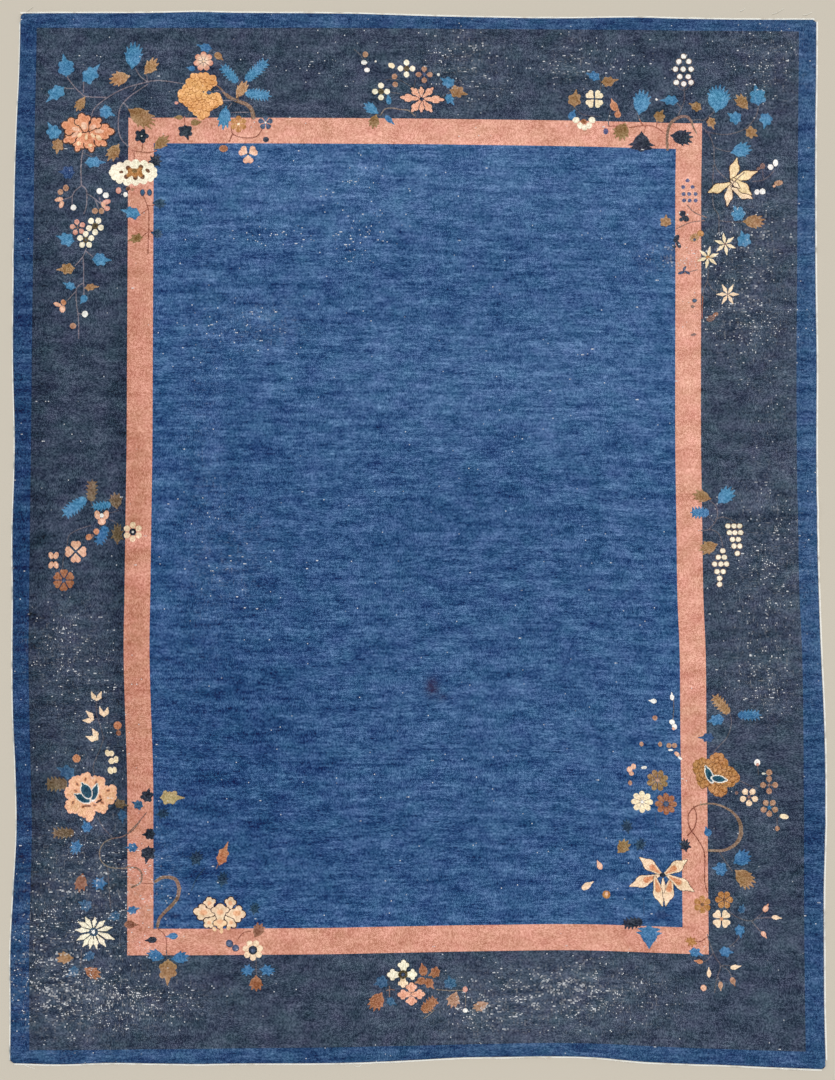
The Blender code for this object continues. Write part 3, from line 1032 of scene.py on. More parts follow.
    spot(134.8, 177, 2.6, 2.6, "dark_brown")
    knot_buds((
        ("dark_brown", (120.8, 171.6, 4.6, 3), (147.2, 170.2, 5.4, 3.4, 320)),
    ))
    spot(134.4, 171.8, 7.6, 4.2, "amber")
    for px, py in ((129.4, 169.2), (139.4, 168.8), (128.4, 174.4), (140, 174.4), (134.6, 174.6)):
        spot(px, py, 2.6, 2.2, "amber")
    spot(134.2, 170.4, 3.0, 2.2, "olive")
    spot(134.2, 166.2, 2.4, 1.8, "cream")
    knot_buds((
        ("pink", (118, 190, 5.5, 6.5), (106, 201.5, 9, 5, 15)),
        ("white", (125, 194, 4.8, 5), (73, 207, 5.8, 5.8), (99, 190.5, 6.2, 6.2),
         (105.4, 194.8, 6.2, 5.8), (84.5, 313.6, 6.2, 6.4)),
        ("dark_brown", (127.5, 188, 4.5, 4.5)),
        ("brown", (132, 189, 4, 3), (65.5, 187.5, 5.8, 6.4), (60, 191.5, 5.8, 5.8),
         (94.5, 210.5, 6.2, 5.8), (101, 210.5, 5.8, 6.2), (72.5, 325.5, 6.4, 6)),
        ("slate", (142, 192, 5, 7), (149, 192, 5, 7)),
        ("dim_blue", (142, 191.4, 2.8, 4.2), (149, 192, 2.8, 4)),
        ("peach", (58.5, 199, 8.5, 4.4, 10), (61, 204, 7.5, 4.4, 70), (103, 204.5, 7, 4, 300),
         (57, 304, 8, 4, 340), (62, 308.5, 6, 7)),
        ("pink", (106.5, 208, 6, 5)),
        ("dim_orange", (63, 302, 5, 6, 30)),
    ))
    knot_flowers((
        ("split", 238, 123.5, 8.5, 6, 90, "amber", "butter", 1.2),
        ("split", 265, 122, 7.5, 5, 90, "slate", "white_line", 1.0),
        ("heart", 247.7, 153.5, 8.6, 3, 30, "peach", "outline", 1.2),
    ))
    knot_buds((
        ("navy", (265.5, 139, 6, 5.6)),
        ("rust", (223, 148, 9, 7)),
        ("peach", (266, 131, 3, 2.5)),
    ))


def top_centre_spray():
    """A peach bloom with cream blossoms at the top edge."""
    knot_stems((
        ("dim_stem", 0.5, 0.5, ((354, 49), (361, 56), (364, 62), (367, 69)),
         ((385, 79), (397, 79), (404, 82), (412, 87)), ((391, 92), (399, 93)), ((415, 79), (413, 88)),
         ((440, 97), (449, 92)), ((415, 113), (415, 118))),
        ("worn", 0.6, 0.6, ((380, 115), (384, 109), (391, 107.5), (400, 109), (408, 110), (414, 115))),
        ("dim_stem", 0.5, 0.5, ((380, 115), (374, 113))),
    ))
    knot_leaves((
        ("lobed", "blue", (446.5, 81, 15, 11, 150), (449.5, 99.5, 13, 9, 300)),
        ("comb", "blue", (370.5, 108, 17, 11, 145)),
        ("plain", "blue", (388.2, 98.8, 11, 6, 95)),
        ("plain", "deep_blue", (389, 119.5, 13, 6, 315)),
        ("lobed", "ochre", (458.4, 91.4, 18, 12, 350)),
        ("comb", "olive", (373.7, 121, 14, 11, 255)),
    ))
    knot_petals((
        ("coral", (418.5, 98.2, 19, 7.4, 176), (419.5, 96.5, 13, 6.4, 134), (421, 96, 10, 5.6, 92),
         (422.8, 96.5, 14, 6.4, 44), (424, 98.4, 20, 7.4, 358), (423, 100.5, 14, 7, 308),
         (421.2, 101, 11, 5.6, 268), (419.5, 100.5, 14, 7, 232)),
    ), margin=0.6)
    knot_flowers((
        ("round", 406, 68, 9, 4, 90, "cream", "dark_olive", 3.0),
        ("round", 380.5, 91, 9, 4, 90, "cream", "dark_olive", 3.0),
        ("round", 423.7, 74, 8.5, 4, 90, "brown", "slate", 2.2),
    ))
    knot_buds((
        ("brown", (364.8, 54, 5.6, 6), (394, 76, 5.6, 5.6), (394.8, 84, 5.6, 5.6)),
        ("white", (363.6, 62, 6, 4.8), (366.5, 69.5, 5.5, 4.8)),
        ("butter", (391, 65, 7, 5, 330)),
        ("slate", (432, 82, 3.4, 3.4)),
        ("white_line", (438, 74, 3, 3), (375, 61, 2, 2)),
    ))


def top_right_spray():
    """White grapes, a lily and stars down the right border."""
    knot_stems((
        ("dim_stem", 0.6, 0.6, ((683.4, 86.5), (684, 94), (683.4, 101.6), (678, 114)),
         ((705, 131), (721, 134), (731.9, 133), (745, 128), (755.4, 116), (758, 104)),
         ((690.5, 120.4), (697, 119), (703.7, 119.5), (713, 112)),
         ((702, 127), (708, 133), (713, 146), (714, 163.7), (719, 172), (728, 180)),
         ((713, 165), (712, 188), (713, 206), (718, 215), (718.5, 233)),
         ((752, 181), (762, 179.7), (769, 175), (773.3, 170.3)), ((599, 77), (600.5, 85), (599, 91))),
        ("dim_stem", 0.5, 0.5, ((676, 84), (683.4, 90), (691, 84)), ((656, 99), (662, 99)),
         ((674, 100), (681, 107)), ((714, 146.8), (722, 150), (730, 151)),
         ((718.7, 220), (730, 221.5), (745, 221.4)), ((762, 170), (763, 179)),
         ((610, 110), (608, 120), (608.5, 126)), ((637, 113), (639, 119))),
        ("dim_stem", 0.6, 0.5, ((707.5, 264.7), (707, 280), (703, 290), (702, 310))),
        ("dim_stem", 0.5, 0.5, ((707, 281), (712, 289), (717.8, 291))),
        ("dim_stem", 0.4, 0.4, ((573, 105), (582, 114), (600, 116))),
        ("band_stem", 0.5, 0.5, ((607.5, 126), (620, 125))),
        ("band_stem", 0.55, 0.55, ((639, 119), (642, 124), (645, 126)),
         ((629, 127), (645, 125), (655, 126.5), (664, 133))),
        ("band_stem", 0.5, 0.5, ((645, 126), (643.5, 132)), ((656.5, 121), (656, 126))),
        ("dim_brown", 0.5, 0.5, ((687, 205), (694, 212), (706, 217))),
        ("dim_brown", 0.4, 0.4, ((676, 228), (690, 222), (704, 220)), ((684, 273), (697, 269))),
        ("band_branch", 0.5, 0.5, ((702, 296), (701.5, 318))),
    ))
    knot_stems((
        ("loop", 1.3, 1.6, ((667, 149), (666.5, 139), (667.5, 130), (670, 123), (675, 118.5))),
        ("dim_brown", 1.5, 1.2, ((675, 118.5), (681, 116), (687, 116.5), (691, 121))),
        ("loop", 1.1, 0.7, ((691, 121), (693, 127), (696, 132.5))),
    ))
    knot_leaves((
        ("comb", "blue", (641, 101.5, 25, 19, 78), (717.8, 98, 27, 25, 80), (741, 149.5, 21, 16, 15)),
        ("lobed", "blue", (668.5, 99.5, 18, 10, 175), (757, 94, 21, 16, 95),
         (733.5, 116.5, 15, 12, 150), (764.8, 120.4, 15, 13, 250), (737, 212, 17, 14, 120),
         (743.2, 238, 17, 14, 100)),
        ("lobed", "olive", (694.7, 105.4, 13, 9, 150)),
        ("comb", "ochre", (741.5, 101.5, 17, 12, 130), (753.5, 221, 21, 15, 0)),
        ("lobed", "ochre", (711, 123, 12, 9, 290), (751.5, 132.5, 13, 11, 330),
         (659.5, 115, 13, 11, 60), (574, 97.5, 17, 13, 90), (609.5, 81, 17, 10, 5),
         (665, 220, 12, 11, 95)),
        ("lobed", "deep_blue", (592.5, 75, 14, 9, 150)),
        ("plain", "deep_blue", (572, 114.2, 11, 8, 60)),
        ("fir", "navy", (641, 140.5, 19, 24, 90)),
        ("comb", "navy", (681.5, 137, 23, 17, 350)),
        ("comb", "olive", (621, 131, 18, 17, 245)),
    ))
    knot_grapes("white", 5.0, "branch", (
        (56, (683,)), (61, (678.3, 688.3)), (68.7, (675, 682.6, 690.5)), (76.2, (679.2, 687.7)),
        (82.0, (675.8, 690.5)), (83.4, (683.2,)),
    ))
    knot_grapes("purple", 4.2, "peach", (
        (180, (687,)), (186.5, (682.6, 692)), (193.5, (683, 688.5, 695)), (200, (683.5, 689, 695)),
    ))
    knot_buds((
        ("navy", (682, 213, 7, 6, 20), (685, 218, 8, 6, 330), (680.5, 219, 4, 4), (676, 238, 9, 5, 60),
         (678, 244, 8, 4, 300), (674, 246, 4, 3)),
        ("white_line", (679, 212, 1.6, 1.6), (687, 214, 1.5, 1.5)),
        ("tan", (694, 237, 10, 8, 20)),
        ("amber", (700, 233, 6, 7, 60)),
        ("slate", (694, 239, 3, 3), (681, 272, 8, 3, 20), (684, 268, 6, 2.6, 60),
         (687, 272, 6, 2.6, 330), (694, 300, 5, 4)),
        ("dim_brown", (692, 306, 4, 3), (693, 334, 6, 2.6, 10)),
    ))
    long_petals((
        ("lily", (731, 181, 24, 10.5, 78), (731, 180, 27, 10, 20)),
        ("lily_pink", (730, 183, 23, 8.5, 262), (732, 188, 22, 10.5, 333)),
        ("lily", (729, 183, 23, 10, 203), (733, 178.5, 24, 10.5, 318)),
        ("lily_pink", (730.5, 180.5, 11, 4.5, 321)),
    ), rim="brown_line", margin=0.75)
    knot_stems((
        ("dim_brown", 0.5, 0.5, ((730, 186), (737, 178), (744, 172))),
    ))
    knot_flowers((
        ("star", 724.6, 243.7, 11, 6, 40, "butter", "dim_brown", 1.2),
        ("star", 707.5, 256.8, 11, 6, 20, "butter", "amber", 2.0),
        ("star", 727.2, 293.8, 11, 6, 60, "lily_pink", "dim_brown", 1.0),
        ("heart", 593.8, 98.5, 9.2, 4, 45, "butter", None, 0),
    ))
    knot_buds((
        ("cream", (575.5, 119.5, 7, 6, 20), (579.5, 125, 6, 6.4), (584, 127, 5.6, 6),
         (588.5, 125, 6, 6.4), (591.5, 119.5, 7, 6, 340)),
        ("rust", (583.2, 121, 6, 5)),
        ("dim_brown", (762, 165.6, 5, 6), (758, 168.2, 4, 3.4, 30), (710, 318, 9, 6, 20)),
        ("white", (770, 166.5, 5.4, 6, 40), (775, 162.5, 5, 7), (756.5, 191.5, 5, 5.6),
         (762, 191, 6, 6), (656, 99, 2.2, 2.2)),
        ("navy", (774, 184.5, 6, 5)),
        ("brown", (778, 182.5, 9, 5.4, 10)),
        ("peach", (773.6, 185.6, 3, 2.4)),
        ("purple", (605.3, 130.8, 5, 6.4)),
        ("worn_rust", (715, 314, 6, 4, 30)),
    ))
    knot_leaves((
        ("plain", "dim_orange", (613, 104.5, 13, 8, 115), (617.3, 113, 9, 7, 90)),
    ))


def right_spray():
    """Two bunches of grapes at the middle of the right border."""
    knot_stems((
        ("dim_stem", 0.6, 0.6, ((709, 500), (715, 505), (717, 513), (715, 521), (708, 529)),
         ((715, 519), (722.9, 516.5), (734.4, 521)),
         ((701, 530), (711.4, 529.3), (719, 534.4), (722.5, 546))),
        ("dim_stem", 0.5, 0.5, ((707, 515), (714, 522))),
    ))
    knot_leaves((
        ("comb", "ochre", (701.2, 495.7, 18, 13, 165), (707.6, 547, 19, 14, 200)),
        ("comb", "blue", (725.2, 495.1, 21, 16, 45)),
        ("fern", "deep_blue", (699.3, 512, 19, 12, 180)),
    ))
    knot_grapes("cream", 5.0, "branch", (
        (525.5, (727.5, 733.5, 739)), (532.1, (728.9, 734.4, 740.1)), (538.9, (732, 737.8)),
        (545.6, (733.5, 739.2)), (552.9, (736.9,)),
        (550.3, (722.3,)), (556.7, (717.8, 723.9)), (563.5, (714.2, 720.4, 726.1)),
        (571, (716.5, 722.7)), (577.8, (719.1,)), (583.8, (719.1,)),
    ))


def left_spray():
    """A small branch with blossoms at the middle of the left border."""
    knot_stems((
        ("dim_stem", 0.5, 0.5, ((90, 525), (78, 529), (68.5, 535), (66.5, 546), (63, 558), (62, 568)),
         ((90, 500), (94, 510), (98, 516)), ((107, 518), (115, 522), (124, 529))),
        ("dim_stem", 0.4, 0.4, ((96, 502), (106, 512), (118, 510))),
    ))
    knot_leaves((
        ("fern", "worn_ochre", (91.3, 490, 22, 12, 88)),
        ("comb", "worn_ochre", (115.3, 500, 16, 14, 100)),
        ("maple", "worn_ochre", (117, 533, 21, 13, 90)),
        ("fern", "blue", (74, 506.5, 30, 14, 217), (101, 505.3, 20, 10, 188)),
        ("fern", "deep_blue", (101.5, 535, 21, 12, 245)),
    ))
    knot_flowers((
        ("round", 132.3, 531.4, 10, 6, 30, "lily_pink", "navy", 3.6),
        ("heart", 75.3, 551.2, 10.4, 4, 90, "peach", "slate", 1.6),
        ("heart", 63.3, 579.6, 11.4, 6, 90, "rust", "slate", 2.4),
    ))
    spot(132.3, 531.4, 1.2, 1.2, "white_line")
    knot_buds((
        ("peach", (97, 514.5, 6, 9, 15), (105.5, 514.5, 6, 9, 345), (101.3, 521, 8, 7),
         (50.6, 555, 5, 7, 20), (55.6, 555, 5, 7, 340), (50.6, 564.5, 5, 7, 340),
         (55.6, 564.5, 5, 7, 20)),
        ("white", (101.3, 515, 4, 4.4)),
        ("dim_orange", (96, 531, 6, 6, 30), (88.5, 536.5, 7, 6, 30)),
        ("dim_brown", (92, 535, 3, 3)),
    ))


def lower_left_spray():
    """A peach peony, a worn lotus and trailing leaves at the lower left."""
    knot_stems((
        ("dim_stem", 0.5, 0.5, ((94, 775), (93, 764), (99, 750), (103, 738)),
         ((103, 738), (100, 726), (96, 714), (96, 700)), ((84, 754), (76, 756)),
         ((97, 816), (102, 826), (108, 833), (113, 838)), ((255.4, 958), (256, 976)),
         ((81, 950), (80, 966))),
        ("worn", 0.55, 0.6, ((112, 838), (103.6, 842), (99, 851), (101, 861), (110, 867), (126, 868))),
        ("loop", 0.9, 0.9, ((126, 867), (136, 867.5), (141, 873), (140, 882), (131, 887))),
        ("band_stem", 0.5, 0.5, ((140, 883), (146, 883), (153, 883)),
         ((157, 928), (164, 934), (166, 942), (166, 952)), ((238, 938), (243, 932), (250, 931))),
        ("dim_stem", 0.5, 0.5, ((107, 867), (108, 880), (110, 908)), ((166, 950), (166.5, 964))),
        ("dim_brown", 0.5, 0.5, ((140, 820), (132, 830), (122, 836), (112, 838)),
         ((146, 812), (136, 824), (128, 832)), ((219, 860), (216, 868))),
        ("green", 0.5, 0.5, ((204, 868), (196, 878), (191, 890))),
    ))
    knot_stems((
        ("loop", 1.4, 1.9,
         ((157, 926), (159, 918), (164.3, 911.8), (172, 904), (177, 897), (178.8, 888))),
        ("loop", 1.9, 1.5, ((178.8, 888), (176, 880), (170, 877), (162, 877), (155, 881))),
    ))
    knot_leaves((
        ("lobed", "dim_blue", (65.2, 770.7, 19, 13, 150), (122, 816, 13, 9, 280),
         (136.6, 804, 12, 9, 160), (113, 916, 13, 9, 200), (84, 904.6, 14, 11, 160),
         (88, 955.5, 12, 9, 200), (71.7, 972, 14, 10, 210)),
        ("lobed", "deep_blue", (85.7, 825.5, 12, 10, 120), (131, 847, 12, 9, 180),
         (133, 909.5, 12, 8, 10)),
        ("maple", "deep_blue", (75.5, 847, 15, 12, 250), (98.5, 883, 15, 13, 180),
         (247, 969.8, 13, 11, 190), (267, 969.8, 15, 11, 350)),
        ("plain", "deep_blue", (171.5, 935.5, 12, 7, 180)),
        ("plain", "navy", (150.5, 939.5, 12, 7, 185)),
        ("comb", "deep_blue", (155, 955, 17, 12, 165), (180, 957, 17, 12, 10)),
        ("fern", "worn_ochre", (56, 783.5, 22, 15, 180), (62.5, 832.5, 23, 12, 180)),
        ("lobed", "worn_gold", (172, 797, 24, 14, 0)),
        ("lobed", "worn_ochre", (121, 803.5, 14, 9, 350)),
        ("lobed", "navy", (146.8, 794.3, 14, 12, 70), (148, 833.5, 13, 11, 180),
         (147.3, 854.6, 17, 14, 265)),
        ("maple", "green", (162.5, 813, 13, 10, 10), (196, 857.5, 16, 13, 60),
         (222, 878.5, 15, 12, 80), (254, 908, 12, 10, 80)),
        ("lobed", "dim_orange", (223, 853, 24, 11, 70)),
        ("comb", "worn_rust", (80.4, 882.5, 18, 13, 260), (258, 929.5, 15, 12, 60)),
        ("comb", "rust", (255.5, 983, 15, 14, 270), (92, 972.5, 17, 12, 330)),
        ("comb", "ochre", (64, 957.5, 16, 12, 180)),
        ("lobed", "ochre", (167.5, 972, 25, 18, 270)),
        ("plain", "worn_rust", (130.6, 924, 14, 8, 0)),
    ))
    knot_twins("lily_pink", (
        (96, 700, 10, 28, 90), (103.5, 716, 10, 22, 90), (93, 719, 11, 24, 158), (97, 739, 12, 22, 140),
    ))
    for px, py, radius_a, radius_b, lobes in (
        (89, 795, 18, 16, 14), (85, 780, 8, 8, 8), (96.5, 782, 8, 7.5, 8), (75.5, 783.5, 7.5, 8, 8),
        (70.5, 792, 7.5, 6.5, 7), (74.5, 804, 10.5, 9.5, 10), (86, 810.5, 9, 8, 8), (89, 815.5, 4, 5, 5),
        (100.5, 805.5, 8, 7.5, 8), (107, 794.5, 9.5, 9.5, 9), (112, 788, 4.5, 3.6, 5),
    ):
        scalloped(px, py, radius_a, radius_b, lobes, 2.7, "warm_peach", uneven=0.3)
    for px, py, turn in (
        (84.8, 779, 80), (76.7, 783.6, 130), (95.6, 781.5, 60), (75.3, 790.4, 160), (107.5, 790, 20),
        (99.8, 796.4, 100), (72.5, 802.1, 60), (83, 806, 20), (94.2, 804.6, 340), (101.5, 802, 330),
    ):
        knot_buds((("apricot", (px, py, 5.6, 3.8, turn)), ("worn_rust", (px, py, 3.8, 2.0, turn))))
    knot_buds((
        ("worn_rust", (87, 805.5, 7, 2.6)),
        ("brown_line", (98.4, 800.6, 8, 2.2, 30)),
    ))
    rimmed(82, 797.6, 17, 8, 155)
    rimmed(94.2, 791.8, 17, 7, 72)
    rimmed(85.6, 790.2, 17, 10.5, 118)
    knot_petals((
        ("lily_pink", (210.5, 908.5, 12, 12, 102), (229, 908.5, 12, 11, 82), (213.5, 917, 13, 11, 225),
         (226, 917, 13, 11, 314), (212, 913, 19, 15, 172), (227.5, 912.5, 17.5, 15.5, 354)),
        ("peach_gold", (219.5, 915, 13, 13, 270)),
        ("lily_pink", (219.7, 918, 14.5, 17, 90)),
    ), rim="brown_line", margin=0.8)
    knot_buds((
        ("soft_orange", (203, 912, 8, 5.6), (236.4, 912.6, 8, 6), (219.7, 911.6, 7, 5.4),
         (219.5, 921, 6.4, 5), (208.8, 902.6, 4, 4.4), (230, 902.6, 4, 4.4), (208.6, 922, 4.4, 4),
         (230.6, 922, 4.4, 4)),
        ("peach_gold", (214, 928.5, 4, 5, 20), (221, 930, 3.6, 6), (228, 927.5, 4, 4, 340)),
    ))
    long_petals((
        ("cream", (90, 930, 15, 5.2, 178), (90, 933, 15, 5.2, 206),
         (91, 935, 14, 5.4, 232), (92, 935, 13, 5.2, 258), (94, 935, 13, 5.2, 280),
         (96, 934, 15, 5.4, 308), (97, 932, 18, 5.6, 338), (97, 930, 15, 5.2, 12),
         (95, 928, 12, 5, 40), (93, 927, 10, 4.6, 82), (91, 927, 12, 5.2, 122),
         (90, 928, 14, 5, 152)),
    ), margin=0.45)
    spot(93, 931.5, 4.6, 4.2, "green")
    spot(93, 931.5, 1.5, 1.9, "white")
    knot_flowers((
        ("split", 252.4, 949.6, 10.4, 7, 116, "lily_pink", "outline", 4.4),
    ))
    spot(252.4, 950, 2.6, 2.2, "slate")
    knot_buds((
        ("dim_orange", (117, 725, 8, 8), (76, 758, 8, 8, 20)),
        ("worn_rust", (118, 732.5, 5, 5.5)),
        ("butter", (107, 752.5, 5, 6.6, 20), (111, 753, 5, 5.6), (111, 760.5, 6, 6),
         (115.5, 759, 5, 7), (110, 770, 5.4, 7, 20), (114, 769.5, 4.6, 6)),
        ("slate", (229, 943, 7, 8, 40), (235, 947.5, 7, 7)),
    ))


def bottom_centre_spray():
    """Cream and peach blossoms at the bottom edge."""
    knot_leaves((
        ("lobed", "dim_blue", (380, 982, 14, 12, 200), (391, 1001.5, 11, 8, 320),
         (449.5, 981.6, 13, 12, 100)),
        ("comb", "rust", (376.3, 1001, 19, 16, 240)),
        ("fern", "rust", (429, 1004.5, 19, 13, 40)),
        ("comb", "brown", (453, 999.5, 16, 13, 250), (480, 1005.5, 15, 10, 200)),
        ("plain", "rust", (422.5, 969, 13, 9, 100), (419.8, 980.5, 11, 8, 190)),
        ("lobed", "rust", (433.5, 972.3, 12, 10, 200), (429.2, 983.5, 12, 9, 300)),
    ))
    knot_stems((
        ("dim_brown", 0.5, 0.5, ((386, 990), (390, 989), (394, 989.5)), ((389, 986), (389, 996))),
        ("worn", 0.5, 0.5, ((436, 989), (448, 990), (462, 990))),
        ("worn", 0.4, 0.4, ((465, 993), (465, 1008)), ((439, 1004), (431, 1012), (423.5, 1018))),
    ))
    knot_petals((
        ("cream", (403, 971.5, 12, 11, 90), (399.5, 974, 13, 11, 180), (406, 974, 10.5, 10.5, 0)),
        ("lily_pink", (402.6, 977, 10, 10, 270)),
    ))
    spot(402.5, 974, 4.8, 4.4, "dark_olive")
    spot(402.5, 974, 2.2, 1.8, "slate")
    knot_petals((
        ("coral", (411, 992.8, 10.8, 11, 90), (411, 995, 9.5, 11, 270), (410, 993.8, 13, 9.5, 180),
         (412, 993.8, 12.5, 9.5, 0)),
    ))
    knot_buds((
        ("pink", (464.6, 989, 5, 6)),
        ("white", (464.8, 1010, 5, 4.4)),
        ("slate", (436, 1006, 9, 2.4, 45)),
    ))


def lower_right_spray():
    """A lily in the field, a winged peony and a ring stem at the lower right."""
    knot_stems((
        ("dim_stem", 0.5, 0.5, ((729, 712), (731, 722), (727, 736), (719, 745), (713, 752)),
         ((673, 697), (673, 712), (672, 721)), ((757, 765), (758, 774)),
         ((739, 780), (749, 785), (757, 788)), ((776, 818), (780, 816)), ((776.5, 818), (776.5, 826)),
         ((741, 930), (736, 940), (724, 950))),
        ("faint_blue", 0.5, 0.5, ((655, 812), (655, 824)), ((643.5, 897), (643.5, 915))),
        ("dim_stem", 0.6, 0.6, ((719, 852), (725, 861), (731.9, 870.7)),
         ((725, 906), (731, 913), (742, 919), (752.2, 920), (760, 914), (764.5, 909)),
         ((757, 918), (766, 917), (773, 917)), ((750.8, 920.3), (756.5, 927), (762, 933)),
         ((707, 934), (710, 945), (715, 957), (720, 965), (717, 976), (714, 992))),
        ("dim_stem", 0.5, 0.5, ((720, 965), (728, 965), (733, 966)),
         ((720, 965), (728, 970), (732, 979)), ((717, 975), (720, 983)),
         ((713, 952), (706, 960), (701, 961))),
        ("band_branch", 0.55, 0.55, ((700, 804), (692, 808), (687.5, 816), (689, 827), (696, 837)),
         ((696, 837), (703, 849), (704.5, 862)), ((693, 806), (696, 815), (694, 827), (687, 835))),
        ("band_branch", 0.5, 0.5, ((704.5, 862), (704, 880), (707, 892))),
        ("band_stem", 0.55, 0.55, ((692, 940), (700, 941), (707, 936))),
    ))
    knot_stems((
        ("ring", 0.7, 1.1, ((700, 804), (710, 803), (720, 805), (730, 810))),
        ("ring", 1.1, 2.2, ((730, 810), (736, 816), (740, 824), (740.5, 833))),
        ("ring", 2.2, 1, ((740.5, 833), (738, 840), (732, 846), (722, 850), (708, 850))),
    ))
    knot_leaves((
        ("maple", "green", (626.5, 825.6, 14, 11, 100), (640, 844, 13, 11, 60)),
        ("comb", "olive", (622.8, 846, 16, 13, 50)),
        ("maple", "navy", (684.5, 844.4, 13, 11, 100)),
        ("fern", "navy", (632, 922.5, 21, 12, 190)),
        ("fir", "deep_blue", (648.6, 937, 22, 23, 270)),
        ("lobed", "faint_blue", (662.3, 914, 15, 9, 0), (705.5, 737, 15, 9, 180)),
        ("fern", "ochre", (720.5, 704, 25, 12, 132)),
        ("lobed", "deep_blue", (715, 719.5, 17, 11, 190), (719, 868.3, 15, 13, 170),
         (739.5, 931, 13, 10, 280), (726, 951.5, 14, 10, 350), (696, 952, 14, 9, 350)),
        ("fern", "deep_blue", (748.8, 714.6, 24, 11, 0)),
        ("plain", "deep_blue", (707, 831, 10, 8, 110)),
        ("comb", "deep_blue", (741.7, 857.6, 19, 17, 30)),
        ("lobed", "dim_blue", (741.4, 908, 9, 7, 70)),
        ("comb", "ochre", (744, 878, 24, 18, 318)),
        ("maple", "amber", (690.5, 941, 12, 9, 160)),
    ))
    long_petals((
        ("lily_pink", (661, 874, 27, 12, 143, "apricot"), (658, 875, 31, 12.5, 202, "apricot"),
         (654.5, 877, 29, 12, 284, "apricot"), (671, 877, 29, 12, 258, "apricot"),
         (667, 875, 30, 12.5, 330, "apricot"), (664, 874, 27, 12, 34, "apricot"),
         (662.5, 878, 14, 5, 272)),
    ), rim="brown_line")
    spot(662, 874.5, 3.0, 2.2, "outline")
    ruffled((
        (702, 768, 10, 11),
        (704, 780, 9, 8),
        (716, 764, 12, 11),
        (726, 776, 11, 12),
        (718, 786, 10, 10),
        (734, 777, 5, 5),
    ), "amber", "amber_line")
    rimmed(708.5, 774, 17, 6.6, 112)
    rimmed(718.5, 778.5, 15, 6.6, 352)
    knot_flowers((
        ("split", 657, 779.8, 11, 8, 20, "olive", "brown", 1.8),
        ("split", 665.5, 803.4, 11, 8, 0, "rust", "slate", 3.0),
        ("split", 641.5, 801.3, 11, 8, 0, "butter", "white", 1.4),
        ("round", 748.4, 796.4, 9.4, 5, 270, "lily_pink", "dim_brown", 1.6),
        ("round", 768.6, 784.5, 9, 4, 90, "brown", "dim_brown", 1.6),
        ("round", 768.8, 807.2, 9.0, 5, 270, "brown", "deep_blue", 2.0),
        ("split", 723.6, 899.3, 9, 6, 0, "amber", "dark_brown", 1.8),
        ("split", 701.8, 904, 9, 6, 30, "amber", "dark_brown", 1.8),
        ("heart", 721, 918.4, 9.2, 4, 45, "lily_pink", "dim_orange", 1.8),
    ))
    knot_leaves((
        ("plain", "white", (652.3, 700.5, 8, 5, 175), (671.5, 696, 8, 4.6, 90)),
        ("plain", "peach", (598.8, 864.5, 10, 6, 110), (765.5, 907.5, 9, 6, 60),
         (763.5, 934, 8, 5, 310)),
        ("plain", "lily_pink", (587, 884.8, 14, 7, 35), (776, 917, 10, 4.6, 355),
         (708.5, 972, 10, 4.6, 90), (735, 966.5, 11, 5, 10)),
        ("plain", "dim_orange", (698.2, 961, 9, 4.6, 175)),
        ("plain", "brown", (732.5, 981, 9, 6, 290), (720, 985.5, 9, 5, 270)),
    ))
    knot_buds((
        ("white", (671.5, 721.5, 5.6, 5), (674, 726, 5, 6, 20), (670, 749.5, 5, 2),
         (756.7, 762, 6, 6.6)),
        ("peach", (673, 728, 3, 3), (676.5, 753.5, 6, 4, 320), (629, 769, 5.6, 6), (633, 766, 5, 5.6),
         (631, 773, 5, 4), (703.1, 987.4, 6, 6)),
        ("brown", (654.4, 717.4, 5, 5), (641, 743.5, 4, 4.6), (659.6, 743.8, 4, 5), (668.5, 745, 5, 5),
         (674, 745, 5, 5), (629.6, 782.3, 4, 5), (768.6, 772, 6.4, 6), (776.7, 828, 4.6, 5)),
        ("white", (679.5, 757.5, 5, 2.6, 330)),
        ("white_line", (643.5, 767, 6, 3, 10), (763, 773, 4, 2)),
        ("amber", (605.9, 894, 8, 8)),
        ("peach", (606, 893, 3, 4)),
        ("pink", (757, 764, 3, 3)),
        ("butter", (783.5, 816, 9, 5, 350)),
        ("dim_brown", (736, 792.5, 3.5, 3.5)),
    ))


SPRAYS = (
    ("spray_top_left", top_left_spray),
    ("spray_top_centre", top_centre_spray),
    ("spray_top_right", top_right_spray),
    ("spray_right", right_spray),
    ("spray_left", left_spray),
    ("spray_lower_left", lower_left_spray),
    ("spray_bottom_centre", bottom_centre_spray),
    ("spray_lower_right", lower_right_spray),
)


def knot_sprays():
    """All sprays, each a piece of its own."""
    for number, (_, spray) in enumerate(SPRAYS, start=1):
        chart.current = number
        spray()


# Zone colours, as the screen shows them
GUARD_BLUE = (46, 79, 120)
BORDER_NAVY = (57, 70, 90)
BAND_CORAL = (222, 158, 136)
FIELD_BLUE = (54, 90, 136)
EXPOSED_COTTON = (232, 234, 236)
THINNED_PILE = (176, 172, 168)
STAIN_RED = (48, 22, 52)
SCREEN_GAMMA = 2.2

# Unevenness of the dye: knots across and along, detail and amount
STREAKS = ((10, 1.9, 3.0, 0.58), (60, 6.0, 3.0, 0.50))
MOTTLES = ((24, 15, 3.0, 0.30), (3.4, 2.6, 1.0, 0.17), (1.3, 9, 2.0, 0.15))
HUES = (24, 19, 2.0, 1.0)
HUE_SHARES = (0.06, -0.03, 0.03)
# Share of the broad tone patches and of the painted crease shade and light in the wool's tone
TONE_AND_CREASE_SHADE_SHARE = 0.16
KNOT_SHARE = 0.19
DARKEST_DYE = (0.06, 0.08, 0.10)
NOISE_ROUGHNESS = 0.6

